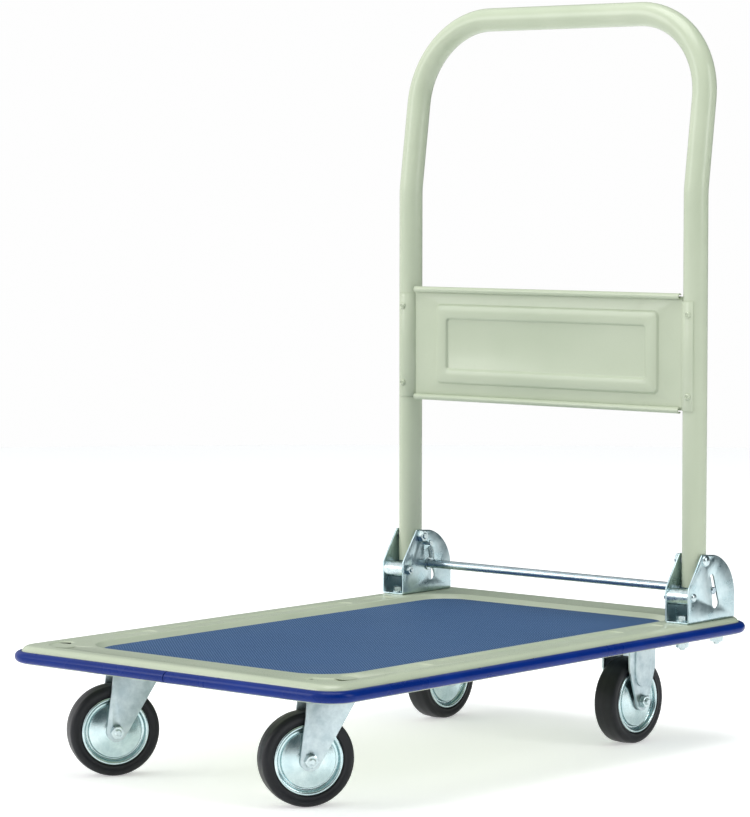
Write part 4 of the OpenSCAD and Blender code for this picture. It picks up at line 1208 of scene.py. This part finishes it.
# %% [markdown]
# ## Studio
# A pale round floor, a big soft light above, and a room that is dark towards one side. Metal needs something
# dark to reflect as well as something bright, or it turns into white paper. The backdrop itself is white.

# %% Floor, world and lights
only()
bpy.ops.mesh.primitive_circle_add(vertices=96, radius=4.5, fill_type="NGON", location=(0, 0, 0))
floor = bpy.context.object
floor.name = "floor"
n = Net("floor_white")
floor_tone = n.mix(n.noise(2, 2), (0.90, 0.90, 0.90), (0.93, 0.93, 0.93))
floor.data.materials.append(n.set(Base_Color=floor_tone, Roughness=0.9, Emission_Color=(1.0, 1.0, 1.0),
                                  Emission_Strength=0.45))
world = bpy.data.worlds.new("studio")
bpy.context.scene.world = world
world.use_nodes = True
wt = world.node_tree
sky = wt.nodes["Background"]
coords = wt.nodes.new("ShaderNodeTexCoord")
toward = wt.nodes.new("ShaderNodeVectorMath")
toward.operation = "DOT_PRODUCT"
toward.inputs[1].default_value = (-0.72, -0.64, 0.26)
ramp = wt.nodes.new("ShaderNodeValToRGB")
wt.links.new(coords.outputs["Generated"], toward.inputs[0])
wt.links.new(toward.outputs["Value"], ramp.inputs[0])
dark_side, bright_side = ramp.color_ramp.elements
dark_side.position, dark_side.color = 0.0, (0.09, 0.12, 0.13, 1)
bright_side.position, bright_side.color = 0.75, (1.25, 1.25, 1.25, 1)
seen = wt.nodes.new("ShaderNodeMix")
seen.data_type = "RGBA"
wt.links.new(wt.nodes.new("ShaderNodeLightPath").outputs["Is Camera Ray"], seen.inputs[0])
wt.links.new(ramp.outputs[0], seen.inputs[6])
seen.inputs[7].default_value = (1.1, 1.1, 1.1, 1)
wt.links.new(seen.outputs[2], sky.inputs["Color"])
sky.inputs["Strength"].default_value = 0.9


def softbox(name, place, target, size, power):
    light = bpy.data.lights.new(name, "AREA")
    light.shape = "RECTANGLE"
    light.size, light.size_y = size
    light.energy = power
    o = bpy.data.objects.new(name, light)
    bpy.context.scene.collection.objects.link(o)
    o.location = place
    o.rotation_euler = (Vector(target) - Vector(place)).to_track_quat("-Z", "Y").to_euler()
    return o


softbox("top", (0.2, -0.3, 3.2), (0, 0, 0.2), (2.2, 2.2), 62)
softbox("right", (3.0, 0.6, 1.6), (0, 0.1, 0.3), (1.0, 2.2), 34)
softbox("front_left", (-2.2, -2.6, 1.7), (0, 0, 0.3), (0.8, 2.0), 26)

# %% [markdown]
# The camera looks from a little above the deck, at the front right corner, through a long lens.

# %% Camera
camera_data = bpy.data.cameras.new("camera")
camera = bpy.data.objects.new("camera", camera_data)
bpy.context.scene.collection.objects.link(camera)
camera_data.sensor_width = 36
camera_data.lens = 147.21
camera_data.shift_x, camera_data.shift_y = -0.03407, -0.06927
camera_data.clip_end = 60
right = Vector((0.76445103, 0.64467986, 0.00158184))
upward = Vector((-0.03358574, 0.03737484, 0.99873676))
back = -Vector((-0.64380635, 0.76353848, -0.05022329))
turn = Matrix((right, upward, back)).transposed().to_4x4()
camera.matrix_world = Matrix.Translation((2.40742, -2.83706, 0.64296)) @ turn
bpy.context.scene.camera = camera
bpy.context.scene.view_settings.view_transform = "Standard"
print("camera", [round(v, 2) for v in camera.location])
